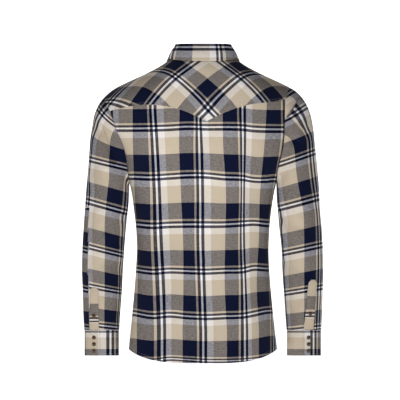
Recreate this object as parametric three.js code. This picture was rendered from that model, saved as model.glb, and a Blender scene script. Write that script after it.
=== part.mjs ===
import * as THREE from "three";

// A men's slim western snap shirt in plaid, filled out as if worn, with nothing inside.
// Millimetres, +Z up. The wearer's front faces -Y, the back faces +Y, and the wearer's left is +X.
// The origin lies midway between the two neck points of the shoulder line.

// Cloth and gaps
const WALL = 1.5;
const BAND_WALL = 2.0;
const PATCH_WALL = 1.3;
const SEAM = 0.35;
const HALF_SEAM = SEAM / 2;
const YOKE_SEAM = 0.55;
const LAY_GAP = 0.35;

// Length of the body
const ARMPIT_Z = -306;
const BACK_HEM_Z = -751.5;
const SIDE_HEM_Z = -717;
const FRONT_HEM_Z = -743;

// Front fastening
const PLACKET_HALF = 18;
const FRONTS_MEET_X = 14;
const FRONT_SNAPS = 7;
const FIRST_SNAP_Z = -128;
const LAST_SNAP_Z = -650;

// Neck
const NECK_HALF = 74;
const NECK_Z = 8.5;
const NECK_DROP = 78;

// Cuffs and their openings
const CUFF_TOP_Z = -670;
const CUFF_BOTTOM_Z = -733.5;
const CUFF_OVERLAP_DEG = 44;
const SLEEVE_PLACKET_HALF = 11.5;

// Snaps
const SNAP_RADIUS = 5.2;
const SNAP_HEIGHT = 2.6;

// The torso by height: half-widths to each side, and depths behind and in front of the side seams.
// Above the armpits the half-widths run on past the armholes.
const TORSO = [
  { z: 60, left: 262, right: 236, back: 46, front: 24 },
  { z: 8, left: 258, right: 232, back: 62, front: 31 },
  { z: -20, left: 256, right: 230, back: 74, front: 37 },
  { z: -45, left: 255, right: 229, back: 84, front: 46 },
  { z: -72, left: 253, right: 228, back: 93, front: 60 },
  { z: -110, left: 250, right: 226, back: 102, front: 85 },
  { z: -160, left: 238, right: 221, back: 110, front: 108 },
  { z: -200, left: 220, right: 215, back: 112.5, front: 119 },
  { z: -230, left: 207, right: 208, back: 112, front: 123 },
  { z: -260, left: 198, right: 198, back: 110.5, front: 125.5 },
  { z: -285, left: 190, right: 189, back: 109, front: 126 },
  { z: -306, left: 183.5, right: 182, back: 107, front: 126 },
  { z: -330, left: 178.2, right: 176.3, back: 105, front: 124.5 },
  { z: -372, left: 172.6, right: 169.8, back: 102, front: 121 },
  { z: -410, left: 168.3, right: 165.8, back: 99, front: 118 },
  { z: -464, left: 165.3, right: 163.2, back: 96.5, front: 114 },
  { z: -508, left: 167.2, right: 164.3, back: 97, front: 112 },
  { z: -561, left: 170.9, right: 168, back: 99, front: 112 },
  { z: -621, left: 176.2, right: 173.4, back: 102, front: 113 },
  { z: -664, left: 180.4, right: 178, back: 104, front: 114 },
  { z: -719, left: 186, right: 184.4, back: 105.5, front: 116 },
  { z: -770, left: 190.5, right: 188.5, back: 107, front: 117 },
];

// The torso's level sections are superellipses of this power.
const SQUARENESS = 2.6;

// The shoulder line from the neck outward, and the height over which the cloth turns down from it.
const SHOULDER = [
  { x: 0, z: 38 },
  { x: 30, z: 34 },
  { x: 58, z: 21.5 },
  { x: 76, z: 8 },
  { x: 88, z: 0 },
  { x: 109, z: -14 },
  { x: 147, z: -34 },
  { x: 194, z: -56 },
  { x: 221, z: -70 },
  { x: 240, z: -85 },
  { x: 254, z: -101 },
  { x: 262, z: -123 },
];
const SHOULDER_TURN = 60;

// The armhole seam by height, as a share of the torso's half-width on that side.
const ARMHOLE = [
  { z: -306, left: 1, right: 1 },
  { z: -300, left: 0.9935, right: 0.9935 },
  { z: -290, left: 0.986, right: 0.98 },
  { z: -270, left: 0.969, right: 0.958 },
  { z: -240, left: 0.945, right: 0.944 },
  { z: -211, left: 0.929, right: 0.938 },
  { z: -182, left: 0.927, right: 0.9275 },
  { z: -155, left: 0.927, right: 0.915 },
  { z: -127, left: 0.938, right: 0.904 },
  { z: -110, left: 0.955, right: 0.9 },
  { z: -90, left: 0.976, right: 0.91 },
  { z: -68, left: 0.98, right: 0.934 },
];

// The yoke's lower edge behind: it runs out from a centre point to each armhole.
const YOKE_TIP_X = -9;
const YOKE_BACK = [
  { out: 0, left: -149, right: -149 },
  { out: 27, left: -136.7, right: -135.5 },
  { out: 54, left: -124.5, right: -124 },
  { out: 81, left: -116.5, right: -114 },
  { out: 108, left: -111, right: -107.5 },
  { out: 140, left: -108.3, right: -103.5 },
  { out: 186, left: -111, right: -97.5 },
  { out: 214, left: -117, right: -90 },
  { out: 244, left: -124, right: -84 },
];

// The yoke's front edge on each side, with a shallow point of its own.
const YOKE_FRONT = [
  { x: 0, z: -122 },
  { x: 50, z: -127 },
  { x: 88, z: -141 },
  { x: 104, z: -148 },
  { x: 120, z: -142 },
  { x: 160, z: -129 },
  { x: 200, z: -114 },
  { x: 250, z: -108 },
];

// The sleeves from the armhole to the cuff: outer edge, inner edge, middle and half-depth of each ring.
const SLEEVE_LEFT = [
  { outX: 247, outZ: -91, inX: 183.8, inZ: -306.3, midY: 0, depth: 56 },
  { outX: 254.5, outZ: -99, inX: 184, inZ: -309, midY: 0, depth: 56.5 },
  { outX: 263, outZ: -113, inX: 184.1, inZ: -311.5, midY: 0, depth: 57.5 },
  { outX: 271.5, outZ: -134, inX: 184.2, inZ: -314.5, midY: 0, depth: 58.5 },
  { outX: 275.5, outZ: -158, inX: 184.3, inZ: -318, midY: 0, depth: 59.5 },
  { outX: 280.5, outZ: -189, inX: 184.4, inZ: -322.5, midY: 1, depth: 60 },
  { outX: 283.7, outZ: -228, inX: 184.6, inZ: -329, midY: 2, depth: 60 },
  { outX: 287.3, outZ: -275, inX: 184.9, inZ: -339, midY: 3, depth: 59.5 },
  { outX: 291.6, outZ: -324, inX: 185.6, inZ: -355, midY: 4, depth: 58.5 },
  { outX: 294.8, outZ: -370, inX: 188.2, inZ: -380, midY: 4, depth: 57 },
  { outX: 297.8, outZ: -412, inX: 191.6, inZ: -412, midY: 3, depth: 55 },
  { outX: 301.2, outZ: -470, inX: 196.3, inZ: -467, midY: 0, depth: 52.5 },
  { outX: 302.2, outZ: -525, inX: 199.8, inZ: -524, midY: -5, depth: 49.5 },
  { outX: 300.2, outZ: -580, inX: 202.8, inZ: -579, midY: -10, depth: 46.5 },
  { outX: 298.8, outZ: -630, inX: 206.8, inZ: -629, midY: -16, depth: 43.5 },
  { outX: 296.5, outZ: -669.6, inX: 209.1, inZ: -669.6, midY: -20, depth: 40 },
];
const SLEEVE_RIGHT = [
  { outX: 213.5, outZ: -67, inX: 182.3, inZ: -306.3, midY: 0, depth: 56 },
  { outX: 227, outZ: -74, inX: 182.3, inZ: -309, midY: 0, depth: 57 },
  { outX: 242, outZ: -87, inX: 182.3, inZ: -311.5, midY: 0, depth: 58 },
  { outX: 256.5, outZ: -107, inX: 182.3, inZ: -314.5, midY: 0, depth: 59 },
  { outX: 267.5, outZ: -134, inX: 182.3, inZ: -318, midY: 0, depth: 60 },
  { outX: 274.2, outZ: -169, inX: 182.4, inZ: -322.5, midY: 1, depth: 60.5 },
  { outX: 278.6, outZ: -212, inX: 182.5, inZ: -329, midY: 2, depth: 60.5 },
  { outX: 284, outZ: -263, inX: 182.9, inZ: -339, midY: 3, depth: 59.5 },
  { outX: 288.6, outZ: -318, inX: 184, inZ: -355, midY: 4, depth: 58.5 },
  { outX: 291, outZ: -368, inX: 186.4, inZ: -380, midY: 4, depth: 57 },
  { outX: 294.8, outZ: -412, inX: 189, inZ: -412, midY: 3, depth: 55 },
  { outX: 298.4, outZ: -470, inX: 194.8, inZ: -467, midY: 0, depth: 52.5 },
  { outX: 299.3, outZ: -525, inX: 197, inZ: -524, midY: -5, depth: 49.5 },
  { outX: 297.7, outZ: -580, inX: 200.9, inZ: -579, midY: -10, depth: 46.5 },
  { outX: 296, outZ: -630, inX: 204.4, inZ: -629, midY: -16, depth: 43.5 },
  { outX: 294.3, outZ: -669.6, inX: 207.6, inZ: -669.6, midY: -20, depth: 40 },
];
const RINGS_ON_CAP = 5;

// The collar from centre back round to the front: neck angle, stand top and fall edge.
// The last row is the lap of the stand past the centre front, where there is no fall.
const COLLAR = [
  { neckDeg: 0, topX: 0, topY: 47, topZ: 40.5, edgeX: 0, edgeY: 67, edgeZ: -0.5 },
  { neckDeg: 31, topX: 36, topY: 43.5, topZ: 40.5, edgeX: 40, edgeY: 63.5, edgeZ: 0 },
  { neckDeg: 60, topX: 61, topY: 26, topZ: 40, edgeX: 73, edgeY: 44, edgeZ: 3 },
  { neckDeg: 90, topX: 68.5, topY: 0, topZ: 36.5, edgeX: 88, edgeY: 8, edgeZ: 5 },
  { neckDeg: 122, topX: 60.5, topY: -30, topZ: 16, edgeX: 91, edgeY: -32, edgeZ: -12 },
  { neckDeg: 150, topX: 36, topY: -53, topZ: -15, edgeX: 81, edgeY: -67, edgeZ: -62 },
  { neckDeg: 177, topX: 5, topY: -63, topZ: -40, edgeX: 60, edgeY: -93, edgeZ: -117 },
  { neckDeg: 192, topX: -15, topY: -62.5, topZ: -41, edgeX: 60, edgeY: -93, edgeZ: -117 },
];
const FALL_END_ROW = 6;
const STAND_END_ROW = 7;

// Sides: which way each lies from the middle, and where its cuff's overlap, snaps and placket lie.
// The angles go round the sleeve from its inner edge over its back to its outer edge. The placket
// starts at a ring of the sleeve, and leans out by an angle on its way up.
const SIDES = [
  { name: "left", sign: 1, sleeve: SLEEVE_LEFT, edgeDeg: 97, snapDeg: 115, top: 12.7, lean: -1 },
  { name: "right", sign: -1, sleeve: SLEEVE_RIGHT, edgeDeg: 91, snapDeg: 105, top: 12.35, lean: 14 },
];

// The largest folds, as soft troughs (depth below 0) and ridges, each along a line seen from behind
// or from in front. Each is on one piece.
const FOLDS = [
  { on: "sleeve_left", face: "back", x1: 256, z1: -168, x2: 222, z2: -250, width: 13, depth: -7 },
  { on: "sleeve_left", face: "back", x1: 268, z1: -200, x2: 240, z2: -262, width: 14, depth: 3.5 },
  { on: "sleeve_left", face: "back", x1: 196, z1: -392, x2: 246, z2: -418, width: 12, depth: -5 },
  { on: "sleeve_left", face: "back", x1: 202, z1: -520, x2: 244, z2: -505, width: 14, depth: -4 },
  { on: "sleeve_left", face: "front", x1: 196, z1: -400, x2: 258, z2: -372, width: 14, depth: -6 },
  { on: "sleeve_left", face: "front", x1: 198, z1: -432, x2: 262, z2: -450, width: 13, depth: -5 },
  { on: "sleeve_left", face: "front", x1: 246, z1: -150, x2: 214, z2: -258, width: 15, depth: -5 },
  { on: "sleeve_right", face: "back", x1: -211, z1: -130, x2: -238, z2: -96, width: 10, depth: -6 },
  { on: "sleeve_right", face: "back", x1: -221, z1: -196, x2: -243, z2: -218, width: 13, depth: -5 },
  { on: "sleeve_right", face: "back", x1: -196, z1: -398, x2: -240, z2: -414, width: 12, depth: -5 },
  { on: "sleeve_right", face: "back", x1: -202, z1: -500, x2: -250, z2: -528, width: 14, depth: -4 },
  { on: "sleeve_right", face: "front", x1: -196, z1: -394, x2: -256, z2: -378, width: 14, depth: -6 },
  { on: "sleeve_right", face: "front", x1: -200, z1: -440, x2: -262, z2: -452, width: 13, depth: -5 },
  { on: "sleeve_right", face: "front", x1: -242, z1: -142, x2: -212, z2: -252, width: 15, depth: -5 },
  { on: "body", face: "back", x1: 72, z1: -610, x2: 68, z2: -770, width: 24, depth: 5 },
  { on: "body", face: "back", x1: 122, z1: -630, x2: 120, z2: -770, width: 22, depth: -5 },
  { on: "body", face: "back", x1: -28, z1: -600, x2: -30, z2: -770, width: 34, depth: -4 },
  { on: "body", face: "back", x1: -112, z1: -570, x2: -122, z2: -770, width: 24, depth: 4 },
  { on: "body", face: "back", x1: 118, z1: -250, x2: 96, z2: -440, width: 30, depth: -4 },
  { on: "body", face: "back", x1: -124, z1: -250, x2: -104, z2: -470, width: 30, depth: -4 },
  { on: "body", face: "front", x1: 112, z1: -560, x2: 118, z2: -770, width: 26, depth: -5 },
  { on: "body", face: "front", x1: 64, z1: -620, x2: 68, z2: -770, width: 22, depth: 4 },
  { on: "body", face: "front", x1: -76, z1: -600, x2: -80, z2: -770, width: 26, depth: 4 },
  { on: "body", face: "front", x1: -124, z1: -580, x2: -126, z2: -770, width: 22, depth: -5 },
  { on: "body", face: "front", x1: 140, z1: -250, x2: 84, z2: -400, width: 26, depth: -5 },
  { on: "body", face: "front", x1: -138, z1: -258, x2: -90, z2: -420, width: 26, depth: -5 },
];

// Grid counts
const BODY_ROWS_ABOVE = 10;
const BODY_ROWS_BELOW = 13;
const BACK_COLUMNS_A_SIDE = 11;
const FRONT_COLUMNS = 10;
const YOKE_ROWS = 7;
const SLEEVE_ROWS = 25;
const SLEEVE_COLUMNS = 24;
const CUFF_COLUMNS = 30;
const CUFF_ROWS = 2;
const COLLAR_COLUMNS = 17;
const FALL_ROWS = 5;
const SNAP_SIDES = 10;

const COLOURS = { cloth: 0xbcb09a, navy: 0x1b2138, cap: 0x3a2a1c };
const DEG = Math.PI / 180;

const lerp = THREE.MathUtils.lerp;
const smoothstep = THREE.MathUtils.smoothstep;

// A smooth curve through one column of a table, as a function of its key column.
function through(table, key, value) {
  const rows = [...table].sort((a, b) => a[key] - b[key]);
  const last = rows.length - 1;
  const slope = (i) => {
    const a = rows[Math.max(0, i - 1)];
    const b = rows[Math.min(last, i + 1)];
    return (b[value] - a[value]) / (b[key] - a[key]);
  };
  return (k) => {
    if (k <= rows[0][key]) return rows[0][value];
    if (k >= rows[last][key]) return rows[last][value];
    const i = rows.findIndex((row) => row[key] > k) - 1;
    const span = rows[i + 1][key] - rows[i][key];
    const t = (k - rows[i][key]) / span;
    const start = (1 + 2 * t) * (1 - t) * (1 - t) * rows[i][value];
    const end = t * t * (3 - 2 * t) * rows[i + 1][value];
    const bend = t * (1 - t) * span * ((1 - t) * slope(i) - t * slope(i + 1));
    return start + end + bend;
  };
}

// The same, by the row's number, for tables whose rows follow a route.
function along(table, value) {
  const numbered = table.map((row, number) => ({ number, v: row[value] }));
  return through(numbered, "number", "v");
}

function steps(from, to, count) {
  return Array.from({ length: count + 1 }, (_, i) => lerp(from, to, i / count));
}

// The torso's form
const width = { left: through(TORSO, "z", "left"), right: through(TORSO, "z", "right") };
const depth = { back: through(TORSO, "z", "back"), front: through(TORSO, "z", "front") };
const armholeShare = {
  left: through(ARMHOLE, "z", "left"),
  right: through(ARMHOLE, "z", "right"),
};
const shoulderHeight = through(SHOULDER, "x", "z");
const yokeBack = {
  left: through(YOKE_BACK, "out", "left"),
  right: through(YOKE_BACK, "out", "right"),
};
const yokeFrontHeight = through(YOKE_FRONT, "x", "z");

const sideOf = (x) => (x >= 0 ? "left" : "right");
const facing = (face) => (face === "back" ? 1 : -1);

function bulge(share) {
  const rest = Math.max(0, 1 - Math.abs(share) ** SQUARENESS);
  return rest ** (1 / SQUARENESS);
}

// How far the cloth has turned down from the shoulder line: 0 on the line, 1 on the flat of the panel.
function turned(x, z) {
  const down = Math.min(1, Math.max(0, (shoulderHeight(Math.abs(x)) - z) / SHOULDER_TURN));
  return Math.sqrt(1 - (1 - down) ** 2);
}

function folds(on, face, x, z) {
  let sum = 0;
  for (const fold of FOLDS) {
    if (fold.on !== on || fold.face !== face) continue;
    const dx = fold.x2 - fold.x1;
    const dz = fold.z2 - fold.z1;
    const reach = ((x - fold.x1) * dx + (z - fold.z1) * dz) / (dx * dx + dz * dz);
    const t = Math.min(1, Math.max(0, reach));
    const away = Math.hypot(x - fold.x1 - t * dx, z - fold.z1 - t * dz);
    sum += fold.depth * Math.exp(-((away / fold.width) ** 2));
  }
  return sum;
}

// A body point with its folds, which fade out toward the side seams.
const FOLDS_END_Y = 10;
const FOLDS_FULL_Y = 60;
function bodyPoint(face, x, y, z) {
  const inward = smoothstep(Math.abs(y), FOLDS_END_Y, FOLDS_FULL_Y);
  const ripple = folds("body", face, x, z) * inward;
  return new THREE.Vector3(x, y + facing(face) * ripple, z);
}

// A point of the torso by its distance across and its height.
function onTorso(face, x, z) {
  const y = depth[face](z) * bulge(x / width[sideOf(x)](z)) * turned(x, z);
  return bodyPoint(face, x, facing(face) * y, z);
}

// A point of the torso by its angle round from the centre line and its height.
function roundTorso(face, angle, z) {
  const across = width[angle >= 0 ? "left" : "right"](z);
  const out = (Math.abs(Math.sin(angle)) / across) ** SQUARENESS;
  const back = (Math.abs(Math.cos(angle)) / depth[face](z)) ** SQUARENESS;
  const radius = (out + back) ** (-1 / SQUARENESS);
  const x = radius * Math.sin(angle);
  const y = radius * Math.cos(angle) * turned(x, z);
  return bodyPoint(face, x, facing(face) * y, z);
}

// The height that a rule gives back unchanged, found by repeating the rule.
const SETTLING_ROUNDS = 20;
function settled(rule) {
  let z = ARMPIT_Z / 2;
  for (let i = 0; i < SETTLING_ROUNDS; i += 1) z = rule(z);
  return z;
}

function armholeX(side, z) {
  return armholeShare[side](z) * width[side](z);
}

// The angle of a panel's outer edge: the armhole above the armpit, the side seam below it.
function edgeAngle(face, side, z) {
  if (z < ARMPIT_Z) return Math.PI / 2 - HALF_SEAM / width[side](z);
  const share = armholeShare[side](z);
  const x = share * width[side](z);
  const y = Math.max(HALF_SEAM, depth[face](z) * bulge(share));
  return Math.atan2(x, y);
}

// The same as a panel's inner columns see it: they turn gently past the armpit's level, and only
// the last column takes the edge's own turn.
const TURN_FROM_Z = -240;
const TURN_TO_Z = -410;
const EDGE_PULL = 12;
function columnEdge(face, side, share, z) {
  const above = edgeAngle(face, side, Math.max(z, TURN_FROM_Z));
  const below = edgeAngle(face, side, Math.min(z, TURN_TO_Z));
  const gentle = lerp(below, above, smoothstep(z, TURN_TO_Z, TURN_FROM_Z));
  return lerp(gentle, edgeAngle(face, side, z), Math.abs(share) ** EDGE_PULL);
}

// The height at which the armhole passes over the shoulder line.
function armholeTop(side) {
  return settled((z) => shoulderHeight(armholeX(side, z)));
}

// The armhole's heights at the sleeve's columns, from the armpit up to the shoulder line.
function armholeHeight(side, angle) {
  return lerp(ARMPIT_Z, armholeTop(side), (1 - Math.cos(angle)) / 2);
}

function armholeSteps(side) {
  const angles = steps(0, Math.PI, SLEEVE_COLUMNS / 2);
  return angles.map((angle) => armholeHeight(side, angle));
}

function armholePoint(side, sign, angle) {
  const z = armholeHeight(side, angle);
  const face = Math.sin(angle) >= 0 ? "back" : "front";
  return onTorso(face, sign * armholeX(side, z), z);
}

// The torso's outward direction at one of its points, from the form and not from the facets.
const NEAR_LINE = 12;
const MEAN_RADIUS = 150;
const LEAST_DEPTH = 0.01;
const UPWARD = 20;
function torsoNormal(face, x, z) {
  const nearLine = shoulderHeight(Math.abs(x)) - z < NEAR_LINE;
  const share = Math.min(1, Math.abs(x) / width[sideOf(x)](z));
  const y = depth[face](z) * bulge(share);
  const angle = Math.atan2(x, Math.max(LEAST_DEPTH, y));
  const way = wayOver(face, x, z);
  const at = nearLine
    ? (a, b) => fromChart(x + a, way + b)
    : (a, b) => roundTorso(face, angle + a / MEAN_RADIUS, z + b);
  const normal = at(1, 0).sub(at(-1, 0)).cross(at(0, 1).sub(at(0, -1))).normalize();
  const outward = new THREE.Vector3(x / 2, facing(face) * y, UPWARD);
  return normal.dot(outward) < 0 ? normal.negate() : normal;
}

function torsoNormals(face, grid) {
  return grid.map((points) => points.map(({ x, z }) => torsoNormal(face, x, z)));
}

// A closed shell: an outer grid of points, and the same moved in by the wall.
// Rows may be closed on themselves. flip says that the grid's own normals point inward.
function gridNormal(grid, row, column, closed, flip) {
  const columns = grid[0].length;
  const wrap = (c) => (c + columns) % columns;
  const left = closed ? wrap(column - 1) : Math.max(0, column - 1);
  const right = closed ? wrap(column + 1) : Math.min(columns - 1, column + 1);
  const above = Math.max(0, row - 1);
  const below = Math.min(grid.length - 1, row + 1);
  const across = grid[row][right].clone().sub(grid[row][left]);
  const down = grid[below][column].clone().sub(grid[above][column]);
  return across.cross(down).normalize().multiplyScalar(flip ? -1 : 1);
}

function moved(grid, distance, { closed = false, flip = false } = {}) {
  return grid.map((points, row) =>
    points.map((point, column) => {
      const normal = gridNormal(grid, row, column, closed, flip);
      return point.clone().addScaledVector(normal, distance);
    }),
  );
}

// normals, where given, replace the grid's own for its first rows.
function shell(outer, wall, { closed = false, flip = false, normals = [] } = {}) {
  const inner = moved(outer, -wall, { closed, flip });
  normals.forEach((directions, row) => {
    inner[row] = outer[row].map((point, c) => point.clone().addScaledVector(directions[c], -wall));
  });
  const rows = outer.length;
  const columns = outer[0].length;
  const positions = [...outer.flat(), ...inner.flat()].flatMap((p) => [p.x, p.y, p.z]);
  const at = (layer, row, column) => (layer * rows + row) * columns + (column % columns);
  const index = [];
  const quad = (a, b, c, d) => {
    if (flip) index.push(a, d, c, a, c, b);
    else index.push(a, b, c, a, c, d);
  };
  const spans = closed ? columns : columns - 1;
  for (let row = 0; row < rows - 1; row += 1) {
    for (let c = 0; c < spans; c += 1) {
      quad(at(0, row, c), at(0, row, c + 1), at(0, row + 1, c + 1), at(0, row + 1, c));
      quad(at(1, row, c), at(1, row + 1, c), at(1, row + 1, c + 1), at(1, row, c + 1));
    }
  }
  for (let c = 0; c < spans; c += 1) {
    const end = rows - 1;
    quad(at(0, 0, c), at(1, 0, c), at(1, 0, c + 1), at(0, 0, c + 1));
    quad(at(0, end, c), at(0, end, c + 1), at(1, end, c + 1), at(1, end, c));
  }
  for (let row = 0; row < rows - 1 && !closed; row += 1) {
    const end = columns - 1;
    quad(at(0, row, 0), at(0, row + 1, 0), at(1, row + 1, 0), at(1, row, 0));
    quad(at(0, row, end), at(1, row, end), at(1, row + 1, end), at(0, row + 1, end));
  }
  const geometry = new THREE.BufferGeometry();
  geometry.setAttribute("position", new THREE.Float32BufferAttribute(positions, 3));
  geometry.setIndex(index);
  return geometry;
}

const shirt = new THREE.Group();
shirt.name = "western_snap_shirt";

function add(name, geometry, colour, roughness = 0.9) {
  const material = new THREE.MeshStandardMaterial({ color: colour, roughness, metalness: 0 });
  const mesh = new THREE.Mesh(geometry, material);
  mesh.name = name;
  shirt.add(mesh);
  return mesh;
}

// The height of a seam where a panel's column crosses it.
function seamHeight(face, angleAt, heightAt) {
  return settled((z) => heightAt(roundTorso(face, angleAt(z), z).x));
}

function yokeBackHeight(x) {
  const out = x - YOKE_TIP_X;
  return yokeBack[sideOf(out)](Math.abs(out));
}

// The hem rises from the centre to the sides, and a little more right at the side seams.
const HEM_POWER = 3.4;
const SIDE_POWER = 12;
const SIDE_RISE = 0.2;
function hemHeight(face, angle) {
  const centre = face === "back" ? BACK_HEM_Z : FRONT_HEM_Z;
  const point = roundTorso(face, angle, SIDE_HEM_Z);
  const share = Math.abs(point.x) / width[sideOf(point.x)](SIDE_HEM_Z);
  const curve = lerp(share ** HEM_POWER, Math.abs(Math.sin(angle)) ** SIDE_POWER, SIDE_RISE);
  return lerp(centre, SIDE_HEM_Z, curve);
}

// A panel edge's heights from the armpit up to its corner at the yoke, at the sleeve's columns.
const LEAST_ROW = 5;
function edgeHeights(side, corner) {
  const heights = armholeSteps(side).filter((z) => z < corner - LEAST_ROW);
  while (heights.length < BODY_ROWS_ABOVE) {
    heights.push(lerp(heights[heights.length - 1], corner, 0.5));
  }
  return [...heights, corner];
}

// The rows of a body panel go from the yoke's seam to the armpit's level, and on to the hem.
function bodyRows(top, hem, shares) {
  const above = shares.map((share) => lerp(ARMPIT_Z, top, share)).reverse();
  const below = steps(ARMPIT_Z, hem, BODY_ROWS_BELOW).slice(1);
  return [...above, ...below];
}

function rowShares(side, corner) {
  return edgeHeights(side, corner).map((z) => (z - ARMPIT_Z) / (corner - ARMPIT_Z));
}

function transposed(columns) {
  return columns[0].map((_, row) => columns.map((column) => column[row]));
}

// The columns stand closer together toward the sides, where the torso turns.
const SPREAD = 0.3;
function spread(share) {
  return share * (1 + SPREAD - SPREAD * Math.abs(share));
}

// Back panel
const tipAngle = Math.atan2(YOKE_TIP_X, depth.back(YOKE_BACK[0].left));
const tipShare = tipAngle / edgeAngle("back", "right", YOKE_BACK[0].left);
const backShares = [
  ...steps(-1, 0, BACK_COLUMNS_A_SIDE).map((t) => lerp(tipShare, -1, spread(-t))),
  ...steps(0, 1, BACK_COLUMNS_A_SIDE).slice(1).map((t) => lerp(tipShare, 1, spread(t))),
];
const backAngle = (share, z) => share * columnEdge("back", sideOf(share), share, z);
const backTops = backShares.map((share) => {
  return seamHeight("back", (z) => backAngle(share, z), yokeBackHeight) - HALF_SEAM;
});
const backRowShares = {
  left: rowShares("left", backTops[backTops.length - 1]),
  right: rowShares("right", backTops[0]),
};
const backColumns = backShares.map((share, i) => {
  const hem = hemHeight("back", (share * Math.PI) / 2);
  const shares = backRowShares.left.map((onLeft, row) => {
    return lerp(backRowShares.right[row], onLeft, (share + 1) / 2);
  });
  return bodyRows(backTops[i], hem, shares).map((z) =>
    roundTorso("back", backAngle(share, z), z),
  );
});
const backGrid = transposed(backColumns);
const backNormals = torsoNormals("back", backGrid);
add("back", shell(backGrid, WALL, { normals: backNormals }), COLOURS.cloth);

// Fronts: the right one runs on under the placket and meets the left one there.
function frontGrid(sign) {
  const side = sign > 0 ? "left" : "right";
  const inner = FRONTS_MEET_X + (sign * SEAM) / 2;
  const angleAt = (share, z) => {
    const start = Math.atan2(inner, depth.front(z));
    return lerp(start, sign * columnEdge("front", side, share, z), share);
  };
  const shares = steps(0, 1, FRONT_COLUMNS).map(spread);
  const edgeAt = (x) => yokeFrontHeight(Math.abs(x)) - HALF_SEAM;
  const tops = shares.map((share) => seamHeight("front", (z) => angleAt(share, z), edgeAt));
  const rowsAbove = rowShares(side, tops[FRONT_COLUMNS]);
  const columns = shares.map((share, i) => {
    const hem = hemHeight("front", angleAt(share, SIDE_HEM_Z));
    const heights = bodyRows(tops[i], hem, rowsAbove);
    return heights.map((z) => roundTorso("front", angleAt(share, z), z));
  });
  return transposed(columns);
}
const frontGrids = { left: frontGrid(1), right: frontGrid(-1) };
for (const [side, grid] of Object.entries(frontGrids)) {
  const normals = torsoNormals("front", grid);
  const panel = shell(grid, WALL, { flip: side === "left", normals });
  add(`front_${side}`, panel, COLOURS.cloth);
}

// The neck seam, by an angle that goes from the centre back (0) round each side to the front (180).
const DROP_POWER = 1.5;
function neckPoint(sign, angle) {
  const x = sign * NECK_HALF * Math.sin(angle);
  const level = Math.min(NECK_Z, shoulderHeight(Math.abs(x)));
  if (angle <= Math.PI / 2) return onTorso("back", x, level);
  return onTorso("front", x, level - NECK_DROP * (-Math.cos(angle)) ** DROP_POWER);
}

// The yoke is laid out on a chart: the distance across, and the way over the shoulder line
// measured from that line, positive behind.
function wayOver(face, x, z) {
  const down = Math.max(0, shoulderHeight(Math.abs(x)) - z);
  const turnEnd = (SHOULDER_TURN * Math.PI) / 2;
  if (down >= SHOULDER_TURN) return facing(face) * (turnEnd + down - SHOULDER_TURN);
  return facing(face) * SHOULDER_TURN * Math.acos(1 - down / SHOULDER_TURN);
}

function fromChart(x, way) {
  const face = way >= 0 ? "back" : "front";
  const turnEnd = (SHOULDER_TURN * Math.PI) / 2;
  const far = Math.max(0, Math.abs(way) - turnEnd);
  const turn = Math.min(Math.abs(way), turnEnd) / SHOULDER_TURN;
  const z = shoulderHeight(Math.abs(x)) - SHOULDER_TURN * (1 - Math.cos(turn)) - far;
  const y = depth[face](z) * bulge(x / width[sideOf(x)](z)) * Math.sin(turn);
  return bodyPoint(face, x, facing(face) * y, z);
}

function chartOf(face, x, z) {
  return { x, way: wayOver(face, x, z) };
}

// The yoke's stations on one side, from the front opening over the shoulder to the back's point.
// Its outer points lie a seam above the panels' top points, and on the sleeve's columns between.
const FRONT_NECK_SHARE = 0.66;
const BACK_NECK_SHARE = 0.34;
function yokeStations({ name: side, sign }) {
  const neckAt = (share) => {
    const angle = share * Math.PI;
    const point = neckPoint(sign, angle);
    return chartOf(share <= 0.5 ? "back" : "front", point.x, point.z);
  };
  const frontTops = frontGrids[side][0];
  const backTop = backGrid[0];
  const backTops = sign > 0 ? backTop.slice(BACK_COLUMNS_A_SIDE).reverse()
    : backTop.slice(0, BACK_COLUMNS_A_SIDE + 1);
  const openingShare = 1 - (sign * Math.asin(frontTops[0].x / NECK_HALF)) / Math.PI;
  const frontEdge = frontTops.map((point, i) => {
    const t = i / FRONT_COLUMNS;
    const outer = chartOf("front", point.x, point.z + YOKE_SEAM);
    return { neck: neckAt(lerp(openingShare, FRONT_NECK_SHARE, t)), outer };
  });
  const backEdge = backTops.map((point, i) => {
    const t = i / BACK_COLUMNS_A_SIDE;
    const outer = chartOf("back", point.x, point.z + YOKE_SEAM);
    return { neck: neckAt(lerp(BACK_NECK_SHARE, 0, t)), outer };
  });
  const arm = (face, corner, cornerShare) => {
    const heights = armholeSteps(side).filter((z) => z > corner + LEAST_ROW);
    return heights.map((z, i) => {
      const t = (i + 1) / heights.length;
      return {
        neck: neckAt(lerp(cornerShare, 0.5, t)),
        outer: chartOf(face, sign * armholeX(side, z), z),
      };
    });
  };
  const frontArm = arm("front", frontTops[FRONT_COLUMNS].z, FRONT_NECK_SHARE);
  const backArm = arm("back", backTops[0].z, BACK_NECK_SHARE).reverse().slice(1);
  return [...frontEdge, ...frontArm, ...backArm, ...backEdge];
}

function yokeGrid() {
  const leftHalf = yokeStations(SIDES[0]);
  const rightHalf = yokeStations(SIDES[1]).reverse().slice(1);
  const stations = [...leftHalf, ...rightHalf];
  const rows = steps(0, 1, YOKE_ROWS);
  return rows.map((t) =>
    stations.map(({ neck, outer }) =>
      fromChart(lerp(neck.x, outer.x, t), lerp(neck.way, outer.way, t)),
    ),
  );
}
const yoke = yokeGrid();
const yokeNormals = yoke.map((points) =>
  points.map(({ x, y, z }) => torsoNormal(y >= 0 ? "back" : "front", x, z)),
);
add("yoke", shell(yoke, WALL, { flip: true, normals: yokeNormals }), COLOURS.navy);

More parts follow.
